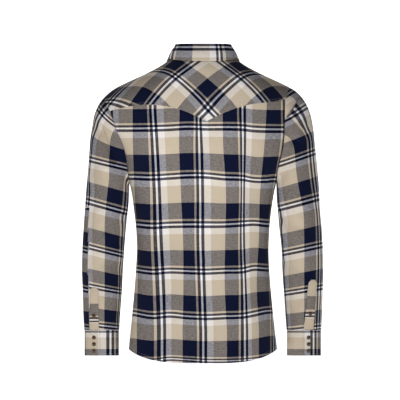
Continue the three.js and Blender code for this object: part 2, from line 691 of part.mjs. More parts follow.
// Front placket: it lies on the yoke's ends and on both fronts, at the same heights as their rows.
function placketGrid() {
  const onYoke = yoke.slice(1, -1).map((points) => points[0].z);
  const onFront = frontGrids.left.map((points) => points[0].z);
  const base = [0, ...onYoke, ...onFront].map((height, row) =>
    [-PLACKET_HALF, 0, PLACKET_HALF].map((x) => {
      const top = neckPoint(1, Math.PI - Math.asin(x / NECK_HALF)).z - 2 * SEAM;
      return onTorso("front", x, row > 0 ? height : top);
    }),
  );
  return moved(base, LAY_GAP + PATCH_WALL, { flip: true });
}
const placket = placketGrid();
add("front_placket", shell(placket, PATCH_WALL, { flip: true }), COLOURS.cloth);

// The sleeves: rings from the armhole to the cuff. The angle goes round from the inner edge
// over the back to the outer edge.
const FOLD_SOFTNESS = 0.7;
const FOLDS_FULL_ROW = 3;
function sleeveSurface({ name, sign, sleeve }) {
  const columns = Object.fromEntries(
    Object.keys(sleeve[0]).map((key) => [key, along(sleeve, key)]),
  );
  const ring = (row, angle) => {
    const share = (1 - Math.cos(angle)) / 2;
    const x = lerp(columns.inX(row), columns.outX(row), share);
    const z = lerp(columns.inZ(row), columns.outZ(row), share);
    const y = columns.midY(row) + columns.depth(row) * Math.sin(angle);
    return new THREE.Vector3(sign * x, y, z);
  };
  return (row, angle) => {
    const point = ring(row, angle);
    const seam = armholePoint(name, sign, angle);
    const blend = smoothstep(row, 0, RINGS_ON_CAP);
    point.lerp(seam.add(point.clone().sub(ring(0, angle))), 1 - blend);
    const face = Math.sin(angle) >= 0 ? "back" : "front";
    const middle = new THREE.Vector3(
      (sign * (columns.inX(row) + columns.outX(row))) / 2,
      columns.midY(row),
      point.z,
    );
    const outward = point.clone().sub(middle).normalize();
    const soft = Math.abs(Math.sin(angle)) ** FOLD_SOFTNESS * smoothstep(row, 0, FOLDS_FULL_ROW);
    return point.addScaledVector(outward, folds(`sleeve_${name}`, face, point.x, point.z) * soft);
  };
}

// Its rows stand closer together at the armhole.
const ROW_EASE = 0.25;
function sleeveGrid(side, surface) {
  const lastRow = side.sleeve.length - 1;
  const rows = steps(0, 1, SLEEVE_ROWS).map((t) => lastRow * lerp(t, t * t, ROW_EASE));
  const angles = steps(0, 2 * Math.PI, SLEEVE_COLUMNS).slice(0, -1);
  const grid = rows.map((row) => angles.map((angle) => surface(row, angle)));
  grid[0] = grid[0].map((point, i) => {
    const away = grid[1][i].clone().sub(point).normalize();
    away.x += side.sign * Math.max(0, Math.cos(angles[i]));
    return point.addScaledVector(away, SEAM);
  });
  return grid;
}

// Over the shoulder the sleeve's wall follows the yoke's at the armhole, so that the two edges
// lie face to face. Under the arm it keeps its own direction, away from the body.
const OVER_SHOULDER_FROM = 70 * DEG;
const OVER_SHOULDER_FULL = 130 * DEG;
function armholeNormals({ name, sign }, grid, flip) {
  return grid[0].map((_, column) => {
    const angle = (column / SLEEVE_COLUMNS) * 2 * Math.PI;
    const face = Math.sin(angle) >= 0 ? "back" : "front";
    const z = armholeHeight(name, angle);
    const body = torsoNormal(face, sign * armholeX(name, z), z);
    const fromArmpit = Math.min(angle, 2 * Math.PI - angle);
    const over = smoothstep(fromArmpit, OVER_SHOULDER_FROM, OVER_SHOULDER_FULL);
    return gridNormal(grid, 0, column, true, flip).lerp(body, over).normalize();
  });
}

// A cuff: a band that starts at its over edge, goes round once and ends under its start. It is a
// little smaller than the sleeve's end, and tapers and leans forward toward the hand.
const CUFF_STEP_DEG = 26;
const CUFF_INSET = 1;
const CUFF_TAPER = 2;
const CUFF_LEAN = 5;
function cuffSurface({ sign, sleeve, edgeDeg }) {
  const end = sleeve[sleeve.length - 1];
  return (turn, z) => {
    const angle = (edgeDeg + turn) * DEG;
    const under = smoothstep(turn, CUFF_OVERLAP_DEG, CUFF_OVERLAP_DEG + CUFF_STEP_DEG);
    const lift = (BAND_WALL + LAY_GAP) * (1 - under);
    const share = (CUFF_TOP_Z - z) / (CUFF_TOP_Z - CUFF_BOTTOM_Z);
    const halfWidth = (end.outX - end.inX) / 2 - CUFF_INSET + lift;
    const halfDepth = end.depth - CUFF_INSET - CUFF_TAPER * share + lift;
    const x = (end.outX + end.inX) / 2 - halfWidth * Math.cos(angle);
    const y = end.midY - CUFF_LEAN * share + halfDepth * Math.sin(angle);
    return new THREE.Vector3(sign * x, y, z);
  };
}

function cuffGrid(surface) {
  const turns = steps(0, 360 + CUFF_OVERLAP_DEG, CUFF_COLUMNS);
  const rows = steps(CUFF_TOP_Z - SEAM, CUFF_BOTTOM_Z, CUFF_ROWS);
  return rows.map((z) => turns.map((turn) => surface(turn, z)));
}

// The placket on a sleeve's opening, made from the sleeve's points moved out, with a cut top.
const PLACKET_ROWS = 8;
const PLACKET_SPANS = 4;
const PLACKET_STOP = 0.03;
const CORNER_FROM = 0.4;
const CORNER_CUT = 0.22;
function sleevePlacketGrid(side, surface) {
  const bottomRow = side.sleeve.length - 1 - PLACKET_STOP;
  const rows = steps(0, 1, PLACKET_ROWS);
  const across = steps(-1, 1, PLACKET_SPANS);
  const base = rows.map((t) =>
    across.map((s) => {
      const corner = Math.max(0, Math.abs(s) - CORNER_FROM);
      const cut = t > 0 ? 0 : CORNER_CUT * corner;
      const row = lerp(side.top, bottomRow, t) + cut;
      const radius = side.sleeve[Math.round(row)].depth;
      const middle = (side.snapDeg + side.lean * (1 - t)) * DEG;
      const angle = middle + (s * SLEEVE_PLACKET_HALF) / radius;
      return surface(row, angle);
    }),
  );
  return moved(base, LAY_GAP + PATCH_WALL, { flip: side.sign < 0 });
}

// A snap: a low cap with a sloped edge, on a surface point and facing along its normal.
const SNAP_PROFILE = [
  { r: 0, h: 0 },
  { r: 1, h: 0 },
  { r: 1, h: 0.45 },
  { r: 0.72, h: 1 },
  { r: 0, h: 1 },
];
const CAP_ROUGHNESS = 0.35;
function snapCap(name, point, normal) {
  const profile = SNAP_PROFILE.map(({ r, h }) => new THREE.Vector2(SNAP_RADIUS * r, SNAP_HEIGHT * h));
  const mesh = add(name, new THREE.LatheGeometry(profile, SNAP_SIDES), COLOURS.cap, CAP_ROUGHNESS);
  mesh.quaternion.setFromUnitVectors(new THREE.Vector3(0, 1, 0), normal);
  mesh.position.copy(point).addScaledVector(normal, LAY_GAP);
}

const CUFF_SNAP_FIRST_Z = -688.5;
const CUFF_SNAP_LAST_Z = -721.5;
const SHORT_WAY = 4;
const SNAP_ROW = 5;
const SNAP_COLUMN = PLACKET_SPANS / 2;
for (const side of SIDES) {
  const surface = sleeveSurface(side);
  const flip = side.sign < 0;
  const grid = sleeveGrid(side, surface);
  const normals = [armholeNormals(side, grid, flip)];
  const sleeve = shell(grid, WALL, { closed: true, flip, normals });
  add(`sleeve_${side.name}`, sleeve, COLOURS.cloth);
  const cuff = cuffSurface(side);
  add(`cuff_${side.name}`, shell(cuffGrid(cuff), BAND_WALL, { flip }), COLOURS.cloth);
  const patch = sleevePlacketGrid(side, surface);
  add(`sleeve_placket_${side.name}`, shell(patch, PATCH_WALL, { flip }), COLOURS.cloth);
  const turn = side.snapDeg - side.edgeDeg;
  steps(CUFF_SNAP_FIRST_Z, CUFF_SNAP_LAST_Z, 2).forEach((z, i) => {
    const point = cuff(turn, z);
    const tangent = cuff(turn + SHORT_WAY, z).sub(cuff(turn - SHORT_WAY, z));
    const rise = cuff(turn, z + SHORT_WAY).sub(cuff(turn, z - SHORT_WAY));
    const normal = tangent.cross(rise).normalize().multiplyScalar(-side.sign);
    snapCap(`cuff_snap_${side.name}_${i + 1}`, point, normal);
  });
  const normal = gridNormal(patch, SNAP_ROW, SNAP_COLUMN, false, flip);
  snapCap(`sleeve_snap_${side.name}`, patch[SNAP_ROW][SNAP_COLUMN], normal);
}

// Front snaps, evenly spaced down the placket
steps(FIRST_SNAP_Z, LAST_SNAP_Z, FRONT_SNAPS - 1).forEach((z, i) => {
  const low = placket.findIndex((points) => points[1].z < z);
  const above = placket[low - 1][1];
  const below = placket[low][1];
  const point = above.clone().lerp(below, (above.z - z) / (above.z - below.z));
  const normal = new THREE.Vector3(1, 0, 0).cross(above.clone().sub(below)).normalize();
  snapCap(`front_snap_${i + 1}`, point, normal);
});

// Collar stand: a band on the neck seam. Its left end laps over its right end at the front.
const collar = Object.fromEntries(
  Object.keys(COLLAR[0]).map((key) => [key, along(COLLAR, key)]),
);
const LAP_START_ROW = 4.9;
const LAP_FULL_ROW = 5.5;
const LAP_MIDDLE_ROW = 6.5;
const STAND_LIFT = 1;
const STAND_OUT = 0.2;
const STAND_ROWS = 3;

// How far the left end stands out where it laps over the right one.
function lapLift(row) {
  return smoothstep(row, LAP_START_ROW, LAP_FULL_ROW) * (BAND_WALL + LAY_GAP);
}

function standPoint(sign, row, rise) {
  const base = neckPoint(sign, collar.neckDeg(row) * DEG);
  const outward = new THREE.Vector3(base.x, base.y, 0).normalize();
  base.addScaledVector(outward, STAND_OUT);
  base.z += STAND_LIFT;
  const top = new THREE.Vector3(sign * collar.topX(row), collar.topY(row), collar.topZ(row));
  return base.lerp(top, rise).addScaledVector(outward, sign > 0 ? lapLift(row) : 0);
}

// Stations from the left end round the back to the right end, with the same ones for both pieces.
function collarStations(...lapRows) {
  const half = [...steps(0, FALL_END_ROW, COLLAR_COLUMNS), ...lapRows];
  const left = half.map((row) => ({ sign: 1, row })).reverse();
  const right = half.slice(1).map((row) => ({ sign: -1, row }));
  return [...left, ...right];
}

const standGrid = steps(0, 1, STAND_ROWS).map((rise) =>
  collarStations(LAP_MIDDLE_ROW, STAND_END_ROW).map(({ sign, row }) => standPoint(sign, row, rise)),
);
add("collar_stand", shell(standGrid, BAND_WALL), COLOURS.cloth);

// Collar fall: it starts on the stand's top, rolls outward and comes down to its edge.
const ROLL = [
  { out: -BAND_WALL, up: 1.65 },
  { out: 0, up: 2.35 },
  { out: 2.1, up: 1.25 },
  { out: 3, up: -2.2 },
];
const FALL_BELLY = 2.2;
const ROW_STEP = 0.1;

function fallPoint(sign, row, step) {
  const top = standPoint(sign, row, 1);
  const edge = new THREE.Vector3(
    sign * collar.edgeX(row),
    collar.edgeY(row),
    collar.edgeZ(row),
  );
  const rise = top.clone().sub(standPoint(sign, row, 0));
  const round = standPoint(sign, row + ROW_STEP, 1).sub(standPoint(sign, row - ROW_STEP, 1));
  const out = round.clone().cross(rise).normalize().multiplyScalar(-sign);
  const up = out.clone().cross(round).normalize().multiplyScalar(-sign);
  const { out: far, up: high } = ROLL[Math.min(step, ROLL.length - 1)];
  const overLap = sign < 0 && step > 0 ? lapLift(row) : 0;
  const point = top.clone().addScaledVector(out, far + overLap).addScaledVector(up, high);
  const share = Math.max(0, step - ROLL.length + 1) / FALL_ROWS;
  const belly = FALL_BELLY * Math.sin(Math.PI * share);
  return point.lerp(edge, share).addScaledVector(out, belly);
}

const fallSteps = Array.from({ length: ROLL.length + FALL_ROWS }, (_, step) => step);
const fallGrid = fallSteps.map((step) =>
  collarStations().map(({ sign, row }) => fallPoint(sign, row, step)),
);
add("collar_fall", shell(fallGrid, PATCH_WALL, { flip: true }), COLOURS.cloth);

// The snap of the collar stand, on its lap
const BAND_SNAP_ROW = 6.1;
const bandPoint = standPoint(1, BAND_SNAP_ROW, 0.5);
const bandRise = standPoint(1, BAND_SNAP_ROW, 1).sub(standPoint(1, BAND_SNAP_ROW, 0));
snapCap("collar_snap", bandPoint, new THREE.Vector3(1, 0, 0).cross(bandRise).normalize());

export default shirt;
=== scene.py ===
import math

import bpy
import numpy as np
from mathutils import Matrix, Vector


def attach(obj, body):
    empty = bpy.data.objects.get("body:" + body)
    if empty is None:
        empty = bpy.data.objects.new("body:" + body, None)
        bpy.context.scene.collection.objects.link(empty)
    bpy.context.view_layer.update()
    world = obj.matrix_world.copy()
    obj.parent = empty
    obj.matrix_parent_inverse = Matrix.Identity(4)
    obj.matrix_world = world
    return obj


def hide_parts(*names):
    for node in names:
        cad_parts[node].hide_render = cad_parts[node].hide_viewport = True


# A plaid western snap shirt, filled out as if worn and seen from behind. Lengths are in
# millimetres until a mesh is made. +Z is up, +Y the wearer's back and +X the wearer's left.

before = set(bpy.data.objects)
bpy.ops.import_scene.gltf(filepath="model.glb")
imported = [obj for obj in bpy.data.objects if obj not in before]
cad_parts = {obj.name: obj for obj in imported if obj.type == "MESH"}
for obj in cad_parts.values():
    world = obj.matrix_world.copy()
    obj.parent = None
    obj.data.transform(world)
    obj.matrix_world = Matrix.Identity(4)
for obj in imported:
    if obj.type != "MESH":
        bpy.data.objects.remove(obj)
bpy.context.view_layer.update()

# The form, as in the part

ARMPIT_Z = -306
BACK_HEM_Z = -751.5
SIDE_HEM_Z = -717
FRONT_HEM_Z = -743
FRONTS_MEET_X = 14
PLACKET_HALF = 18
NECK_HALF = 74
NECK_Z = 8.5
NECK_DROP = 78
SHOULDER_TURN = 60
SQUARENESS = 2.6
CUFF_TOP_Z = -670
CUFF_BOTTOM_Z = -733.5
CUFF_OVERLAP_DEG = 44
CUFF_EASE_DEG = 26
LAP_LIFT = 2.35
PLACKET_LIFT = 1.65
SLEEVE_PLACKET_HALF = 11.5
RINGS_ON_CAP = 5
DEG = math.pi / 180

# z, left, right, back, front
TORSO = np.array([
    (60, 262, 236, 46, 24), (8, 258, 232, 62, 31), (-20, 256, 230, 74, 37),
    (-45, 255, 229, 84, 46), (-72, 253, 228, 93, 60), (-110, 250, 226, 102, 85),
    (-160, 238, 221, 110, 108), (-200, 220, 215, 112.5, 119), (-230, 207, 208, 112, 123),
    (-260, 198, 198, 110.5, 125.5), (-285, 190, 189, 109, 126), (-306, 183.5, 182, 107, 126),
    (-330, 178.2, 176.3, 105, 124.5), (-372, 172.6, 169.8, 102, 121), (-410, 168.3, 165.8, 99, 118),
    (-464, 165.3, 163.2, 96.5, 114), (-508, 167.2, 164.3, 97, 112), (-561, 170.9, 168, 99, 112),
    (-621, 176.2, 173.4, 102, 113), (-664, 180.4, 178, 104, 114), (-719, 186, 184.4, 105.5, 116),
    (-770, 190.5, 188.5, 107, 117),
])
# x, z of the shoulder line
SHOULDER = np.array([
    (0, 38), (30, 34), (58, 21.5), (76, 8), (88, 0), (109, -14), (147, -34), (194, -56),
    (221, -70), (240, -85), (254, -101), (262, -123),
])
# z, left, right: the armhole as a share of the half-width
ARMHOLE = np.array([
    (-306, 1, 1), (-300, 0.9935, 0.9935), (-290, 0.986, 0.98), (-270, 0.969, 0.958),
    (-240, 0.945, 0.944), (-211, 0.929, 0.938), (-182, 0.927, 0.9275), (-155, 0.927, 0.915),
    (-127, 0.938, 0.904), (-110, 0.955, 0.9), (-90, 0.976, 0.91), (-68, 0.98, 0.934),
])
YOKE_TIP_X = -9
# distance out from the point, z on the left, z on the right
YOKE_BACK = np.array([
    (0, -149, -149), (27, -136.7, -135.5), (54, -124.5, -124), (81, -116.5, -114),
    (108, -111, -107.5), (140, -108.3, -103.5), (186, -111, -97.5), (214, -117, -90),
    (244, -124, -84),
])
YOKE_FRONT = np.array([
    (0, -122), (50, -127), (88, -141), (104, -148), (120, -142), (160, -129), (200, -114),
    (250, -108),
])
# outX, outZ, inX, inZ, midY, depth
SLEEVE_LEFT = np.array([
    (247, -91, 183.8, -306.3, 0, 56), (254.5, -99, 184, -309, 0, 56.5),
    (263, -113, 184.1, -311.5, 0, 57.5), (271.5, -134, 184.2, -314.5, 0, 58.5),
    (275.5, -158, 184.3, -318, 0, 59.5), (280.5, -189, 184.4, -322.5, 1, 60),
    (283.7, -228, 184.6, -329, 2, 60), (287.3, -275, 184.9, -339, 3, 59.5),
    (291.6, -324, 185.6, -355, 4, 58.5), (294.8, -370, 188.2, -380, 4, 57),
    (297.8, -412, 191.6, -412, 3, 55), (301.2, -470, 196.3, -467, 0, 52.5),
    (302.2, -525, 199.8, -524, -5, 49.5), (300.2, -580, 202.8, -579, -10, 46.5),
    (298.8, -630, 206.8, -629, -16, 43.5), (296.5, -669.6, 209.1, -669.6, -20, 40),
])
SLEEVE_RIGHT = np.array([
    (213.5, -67, 182.3, -306.3, 0, 56), (227, -74, 182.3, -309, 0, 57),
    (242, -87, 182.3, -311.5, 0, 58), (256.5, -107, 182.3, -314.5, 0, 59),
    (267.5, -134, 182.3, -318, 0, 60), (274.2, -169, 182.4, -322.5, 1, 60.5),
    (278.6, -212, 182.5, -329, 2, 60.5), (284, -263, 182.9, -339, 3, 59.5),
    (288.6, -318, 184, -355, 4, 58.5), (291, -368, 186.4, -380, 4, 57),
    (294.8, -412, 189, -412, 3, 55), (298.4, -470, 194.8, -467, 0, 52.5),
    (299.3, -525, 197, -524, -5, 49.5), (297.7, -580, 200.9, -579, -10, 46.5),
    (296, -630, 204.4, -629, -16, 43.5), (294.3, -669.6, 207.6, -669.6, -20, 40),
])
# neckDeg, topX, topY, topZ, edgeX, edgeY, edgeZ
COLLAR = np.array([
    (0, 0, 47, 40.5, 0, 67, -0.5), (31, 36, 43.5, 40.5, 40, 63.5, 0),
    (60, 61, 26, 40, 73, 44, 3), (90, 68.5, 0, 36.5, 88, 8, 5),
    (122, 60.5, -30, 16, 91, -32, -12), (150, 36, -53, -15, 81, -67, -62),
    (177, 5, -63, -40, 60, -93, -117), (192, -15, -62.5, -41, 60, -93, -117),
])
SIDES = {
    "left": dict(sign=1, sleeve=SLEEVE_LEFT, edge_deg=97, snap_deg=115, top=12.7, lean=-1),
    "right": dict(sign=-1, sleeve=SLEEVE_RIGHT, edge_deg=91, snap_deg=105, top=12.35, lean=14),
}

# Folds: x1, z1, x2, z2, width, depth (below 0 for a trough). The first ones of each group are
# the part's own, and the narrower ones after them only show.
FOLDS = {
    "sleeve_left_back": [
        (256, -168, 222, -250, 13, -7), (268, -200, 240, -262, 14, 3.5),
        (196, -392, 246, -418, 12, -5), (202, -520, 244, -505, 14, -4),
        (204, -300, 232, -338, 8, -1.6), (212, -352, 262, -376, 9, 1.6),
        (210, -446, 262, -470, 8, -1.6), (270, -560, 232, -596, 9, -1.4),
        (216, -610, 240, -655, 8, 1.2), (276, -600, 258, -660, 7, -1.2),
        (253, -174, 223, -248, 5, -4.5), (196, -262, 184, -312, 7, -4),
        (240, -150, 222, -196, 6, -3), (280, -366, 284, -520, 5, -3), (200, -384, 236, -400, 5, -3.5),
    ],
    "sleeve_left_front": [
        (196, -400, 258, -372, 14, -6), (198, -432, 262, -450, 13, -5),
        (246, -150, 214, -258, 15, -5), (204, -352, 250, -330, 9, -1.6),
        (214, -476, 268, -492, 9, -1.4), (222, -560, 262, -600, 9, 1.4),
        (218, -620, 250, -660, 8, -1.2),
    ],
    "sleeve_right_back": [
        (-211, -130, -238, -96, 10, -6), (-221, -196, -243, -218, 13, -5),
        (-196, -398, -240, -414, 12, -5), (-202, -500, -250, -528, 14, -4),
        (-206, -282, -236, -330, 9, -1.6), (-214, -350, -262, -366, 9, 1.6),
        (-214, -448, -264, -462, 8, -1.6), (-270, -566, -236, -604, 9, -1.4),
        (-218, -600, -244, -650, 8, 1.2), (-237, -99, -213, -128, 5, -4.5),
        (-212, -196, -242, -204, 7, -4.5), (-264, -150, -258, -186, 6, -3),
        (-190, -372, -204, -430, 5, -4), (-186, -280, -214, -318, 6, -3),
    ],
    "sleeve_right_front": [
        (-196, -394, -256, -378, 14, -6), (-200, -440, -262, -452, 13, -5),
        (-242, -142, -212, -252, 15, -5), (-206, -346, -250, -326, 9, -1.6),
        (-216, -480, -268, -498, 9, -1.4), (-226, -566, -262, -606, 9, 1.4),
    ],
    "body_back": [
        (72, -610, 68, -770, 24, 5), (122, -630, 120, -770, 22, -5),
        (-28, -600, -30, -770, 34, -4), (-112, -570, -122, -770, 24, 4),
        (118, -250, 96, -440, 30, -4), (-124, -250, -104, -470, 30, -4),
        (172, -322, 128, -352, 10, -1.5), (-170, -318, -126, -350, 10, -1.5),
        (36, -640, 40, -770, 14, -1.6), (-74, -640, -78, -770, 15, 1.8),
        (150, -560, 100, -590, 16, -1.2), (-150, -540, -100, -580, 16, -1.2),
    ],
    "body_front": [
        (112, -560, 118, -770, 26, -5), (64, -620, 68, -770, 22, 4),
        (-76, -600, -80, -770, 26, 4), (-124, -580, -126, -770, 22, -5),
        (140, -250, 84, -400, 26, -5), (-138, -258, -90, -420, 26, -5),
        (166, -330, 116, -366, 10, -1.5), (-164, -330, -116, -370, 10, -1.5),
        (96, -640, 100, -770, 12, -1.4), (-50, -650, -52, -770, 12, -1.4),
    ],
}


def curve(keys, values):
    """The part's smooth curve through a table's column, for arrays."""
    keys, values = np.asarray(keys, float), np.asarray(values, float)
    order = np.argsort(keys)
    keys, values = keys[order], values[order]
    last = len(keys) - 1
    above = np.minimum(np.arange(last + 1) + 1, last)
    below = np.maximum(np.arange(last + 1) - 1, 0)
    slopes = (values[above] - values[below]) / (keys[above] - keys[below])

    def at(k):
        k = np.clip(np.asarray(k, float), keys[0], keys[-1])
        i = np.clip(np.searchsorted(keys, k, side="right") - 1, 0, last - 1)
        span = keys[i + 1] - keys[i]
        t = (k - keys[i]) / span
        start = (1 + 2 * t) * (1 - t) ** 2 * values[i]
        end = t * t * (3 - 2 * t) * values[i + 1]
        bend = t * (1 - t) * span * ((1 - t) * slopes[i] - t * slopes[i + 1])
        return start + end + bend

    return at


def lerp(a, b, t):
    return a + (b - a) * t


def smooth(value, low, high):
    t = np.clip((np.asarray(value, float) - low) / (high - low), 0, 1)
    return t * t * (3 - 2 * t)


width_of = {1: curve(TORSO[:, 0], TORSO[:, 1]), -1: curve(TORSO[:, 0], TORSO[:, 2])}
depth_of = {1: curve(TORSO[:, 0], TORSO[:, 3]), -1: curve(TORSO[:, 0], TORSO[:, 4])}
share_of = {1: curve(ARMHOLE[:, 0], ARMHOLE[:, 1]), -1: curve(ARMHOLE[:, 0], ARMHOLE[:, 2])}
yoke_back = {1: curve(YOKE_BACK[:, 0], YOKE_BACK[:, 1]), -1: curve(YOKE_BACK[:, 0], YOKE_BACK[:, 2])}
yoke_front_height = curve(YOKE_FRONT[:, 0], YOKE_FRONT[:, 1])
shoulder_curve = curve(SHOULDER[:, 0], SHOULDER[:, 1])


def shoulder(x):
    return shoulder_curve(np.abs(x))


def by_side(pair, key, x):
    """One column on the left side and another on the right, by the sign of x."""
    return np.where(np.asarray(x) >= 0, pair[1](key), pair[-1](key))


def bulge(share):
    return np.maximum(0, 1 - np.abs(share) ** SQUARENESS) ** (1 / SQUARENESS)


def turned(x, z):
    down = np.clip((shoulder(x) - z) / SHOULDER_TURN, 0, 1)
    return np.sqrt(1 - (1 - down) ** 2)


def folds(group, x, z):
    total = np.zeros(np.broadcast(x, z).shape)
    for x1, z1, x2, z2, width, depth in FOLDS[group]:
        dx, dz = x2 - x1, z2 - z1
        t = np.clip(((x - x1) * dx + (z - z1) * dz) / (dx * dx + dz * dz), 0, 1)
        away = np.hypot(x - x1 - t * dx, z - z1 - t * dz)
        total = total + depth * np.exp(-((away / width) ** 2))
    return total


def body_point(face, x, y, z):
    ripple = folds("body_back" if face > 0 else "body_front", x, z) * smooth(np.abs(y), 10, 60)
    x, y, z = np.broadcast_arrays(x, y + face * ripple, z)
    return np.stack([x, y, z], -1).astype(float)


def on_torso(face, x, z):
    x, z = np.broadcast_arrays(np.asarray(x, float), np.asarray(z, float))
    y = depth_of[face](z) * bulge(x / by_side(width_of, z, x)) * turned(x, z)
    return body_point(face, x, face * y, z)


def round_torso(face, angle, z):
    angle, z = np.broadcast_arrays(np.asarray(angle, float), np.asarray(z, float))
    across = by_side(width_of, z, angle)
    out = (np.abs(np.sin(angle)) / across) ** SQUARENESS
    back = (np.abs(np.cos(angle)) / depth_of[face](z)) ** SQUARENESS
    radius = (out + back) ** (-1 / SQUARENESS)
    x = radius * np.sin(angle)
    return body_point(face, x, face * radius * np.cos(angle) * turned(x, z), z)


def armhole_x(sign, z):
    return share_of[sign](z) * width_of[sign](z)


def edge_angle(face, sign, z):
    share = share_of[sign](z)
    y = np.maximum(0.2, depth_of[face](z) * bulge(share))
    above = np.arctan2(share * width_of[sign](z), y)
    return np.where(z < ARMPIT_Z, math.pi / 2 - 0.1 / width_of[sign](z), above)


def column_edge(face, sign, share, z):
    above = edge_angle(face, sign, np.maximum(z, -240))
    below = edge_angle(face, sign, np.minimum(z, -410))
    gentle = lerp(below, above, smooth(z, -410, -240))
    return lerp(gentle, edge_angle(face, sign, z), np.abs(share) ** 12)


def settled(rule, like=0.0):
    z = np.full(np.shape(like), ARMPIT_Z / 2.0)
    for _ in range(24):
        z = rule(z)
    return z


def armhole_height(sign, angle):
    top = settled(lambda z: shoulder(armhole_x(sign, z)))
    return lerp(ARMPIT_Z, top, (1 - np.cos(angle)) / 2)


def yoke_back_height(x):
    return by_side(yoke_back, np.abs(x - YOKE_TIP_X), x - YOKE_TIP_X)


def hem_height(face, angle):
    centre = BACK_HEM_Z if face > 0 else FRONT_HEM_Z
    point = round_torso(face, angle, SIDE_HEM_Z)
    share = np.abs(point[..., 0]) / by_side(width_of, SIDE_HEM_Z, point[..., 0])
    rise = lerp(share ** 3.4, np.abs(np.sin(angle)) ** 12, 0.2)
    return lerp(centre, SIDE_HEM_Z, rise)


def neck_point(sign, angle):
    angle = np.asarray(angle, float)
    x = sign * NECK_HALF * np.sin(angle)
    level = np.minimum(NECK_Z, shoulder(x))
    behind = on_torso(1, x, level)
    drop = NECK_DROP * np.maximum(0, -np.cos(angle)) ** 1.5
    before = on_torso(-1, x, level - drop)
    return np.where((angle <= math.pi / 2)[..., None], behind, before)


def way_over(face, x, z):
    down = np.maximum(0, shoulder(x) - z)
    turn_end = SHOULDER_TURN * math.pi / 2
    near = SHOULDER_TURN * np.arccos(np.clip(1 - down / SHOULDER_TURN, -1, 1))
    return face * np.where(down >= SHOULDER_TURN, turn_end + down - SHOULDER_TURN, near)


def from_chart(x, way):
    turn_end = SHOULDER_TURN * math.pi / 2
    far = np.maximum(0, np.abs(way) - turn_end)
    turn = np.minimum(np.abs(way), turn_end) / SHOULDER_TURN
    z = shoulder(x) - SHOULDER_TURN * (1 - np.cos(turn)) - far
    points = []
    for face in (1, -1):
        y = depth_of[face](z) * bulge(x / by_side(width_of, z, x)) * np.sin(turn)
        points.append(body_point(face, x, face * y, z))
    return np.where((way >= 0)[..., None], points[0], points[1])


# The plaid: the stripes of one repeat, down the cloth and across it, in colours as the eye sees
# them and in 111ths of the repeat
NAVY = (14, 21, 44)
INK = (5, 9, 32)
TAN = (184, 170, 150)
WHITE = (238, 239, 244)
LIGHT = (219, 214, 211)
WARP = [(36, NAVY), (5.6, TAN), (7.2, INK), (4.8, WHITE), (7.2, INK), (15.6, LIGHT), (34.6, TAN)]
WEFT = [(36.7, NAVY), (4.6, TAN), (5.8, INK), (3.8, WHITE), (6.6, INK), (14.2, LIGHT), (39.3, TAN)]
REPEAT = 111
LIGHT_WIDTH, TAN_WIDTH = WARP[5][0], WARP[6][0]
# Where the wide navy starts and ends in the repeat, and where the thin stripes end
WARP_MARKS = (0, 36, 60.8)
WEFT_MARKS = (0, 36.7, 57.5)
# Threads of two colours blend to a little lighter than halfway between them.
BLEND_GAMMA = 1.65
SCREEN_GAMMA = 2.2


def arc_across(grid):
    """Distance along each row of a grid, from its first column."""
    step = np.linalg.norm(np.diff(grid, axis=1), axis=2)
    return np.concatenate([np.zeros((len(grid), 1)), np.cumsum(step, axis=1)], axis=1)


def beyond(keys, values, k):
    """A smooth curve through points, carried on in straight lines past both ends."""
    inside = curve(keys, values)(k)
    low, high = np.argmin(keys), np.argmax(keys)
    order = np.argsort(keys)
    slopes = np.diff(np.asarray(values, float)[order]) / np.diff(np.asarray(keys, float)[order])
    inside = inside + np.minimum(0, k - keys[low]) * slopes[0]
    return inside + np.maximum(0, k - keys[high]) * slopes[-1]


# Heights behind where each row's wide navy starts and ends, and where its thin stripes end
BODY_ROWS = np.array([
    (-117.3, -152.1, -174.2), (-231.4, -274, -295.9), (-353.7, -393.4, -415.6),
    (-470.4, -508.8, -529.1), (-581.2, -620.1, -640.7), (-693.2, -733, -748),
])
# How far each row hangs down behind, at places across from the wearer's right
DROOP_X = [-171, -156, -126, -97, -52, -7, 38, 83, 127, 172]
ROW_DROOP = {
    -165: (5.2, 5, 3.7, 0.7, -0.2, 0.2, -1.2, 1.2, 2.7, 3.2),
    -288: (7.8, 9.8, 9.6, 4.1, 2.1, -2.4, -2.6, 0, 2.6, 1.1),
    -407: (-1.2, -1.5, -5, -3, -0.2, 0, -0.2, 0.7, 3, -0.7),
    -521: (-4.5, -5, -6.7, -0.7, 0.5, 2.5, 1.5, 0, 3, -2.5),
    -633: (-12.2, -11.2, -4.7, 0.2, 1.7, 3.7, 2, -2.2, 1.5, -5.7),
    -743: (-7, -4.5, -0.7, 1.5, 3, 2.6, 0, -2.5, 2.5, -1),
}
# At each height, where across the back the light stripe ends, and then where each column's wide
# navy starts and ends and its thin stripes end, from the wearer's left
BODY_COLUMNS = {
    -134: (211, 175.3, 139.9, 116.3, 58.8, 23.7, 3.7, -48.3, -83.7, -106.1, -157.6, -193),
    -209: (210, 174.8, 136.7, 111.3, 59.8, 24.7, 0.5, -49.8, -86.4, -106.3, -152.6, -192.2),
    -329: (207, 170.8, 132.5, 105.1, 55.3, 22.2, -2, -56.5, -89.1, -103.6, -141.4, -171.8),
    -446: (200, 164.3, 131.2, 100.8, 50, 22.2, -2.7, -54.5, -86.7, -103.8, -138.4, -161.1),
    -560: (199, 163.3, 126.2, 94.9, 49.3, 18.9, -6, -53.5, -88.1, -107.8, -133, -163.6),
    -669: (201, 165.3, 122.8, 92.4, 51, 15.7, -9.7, -59, -87.9, -111.6, -138.2, -166.8),
}


def marks(pattern, count):
    """The first places of a pattern of three in every repeat."""
    return [REPEAT * (i // 3) + pattern[i % 3] for i in range(count)]


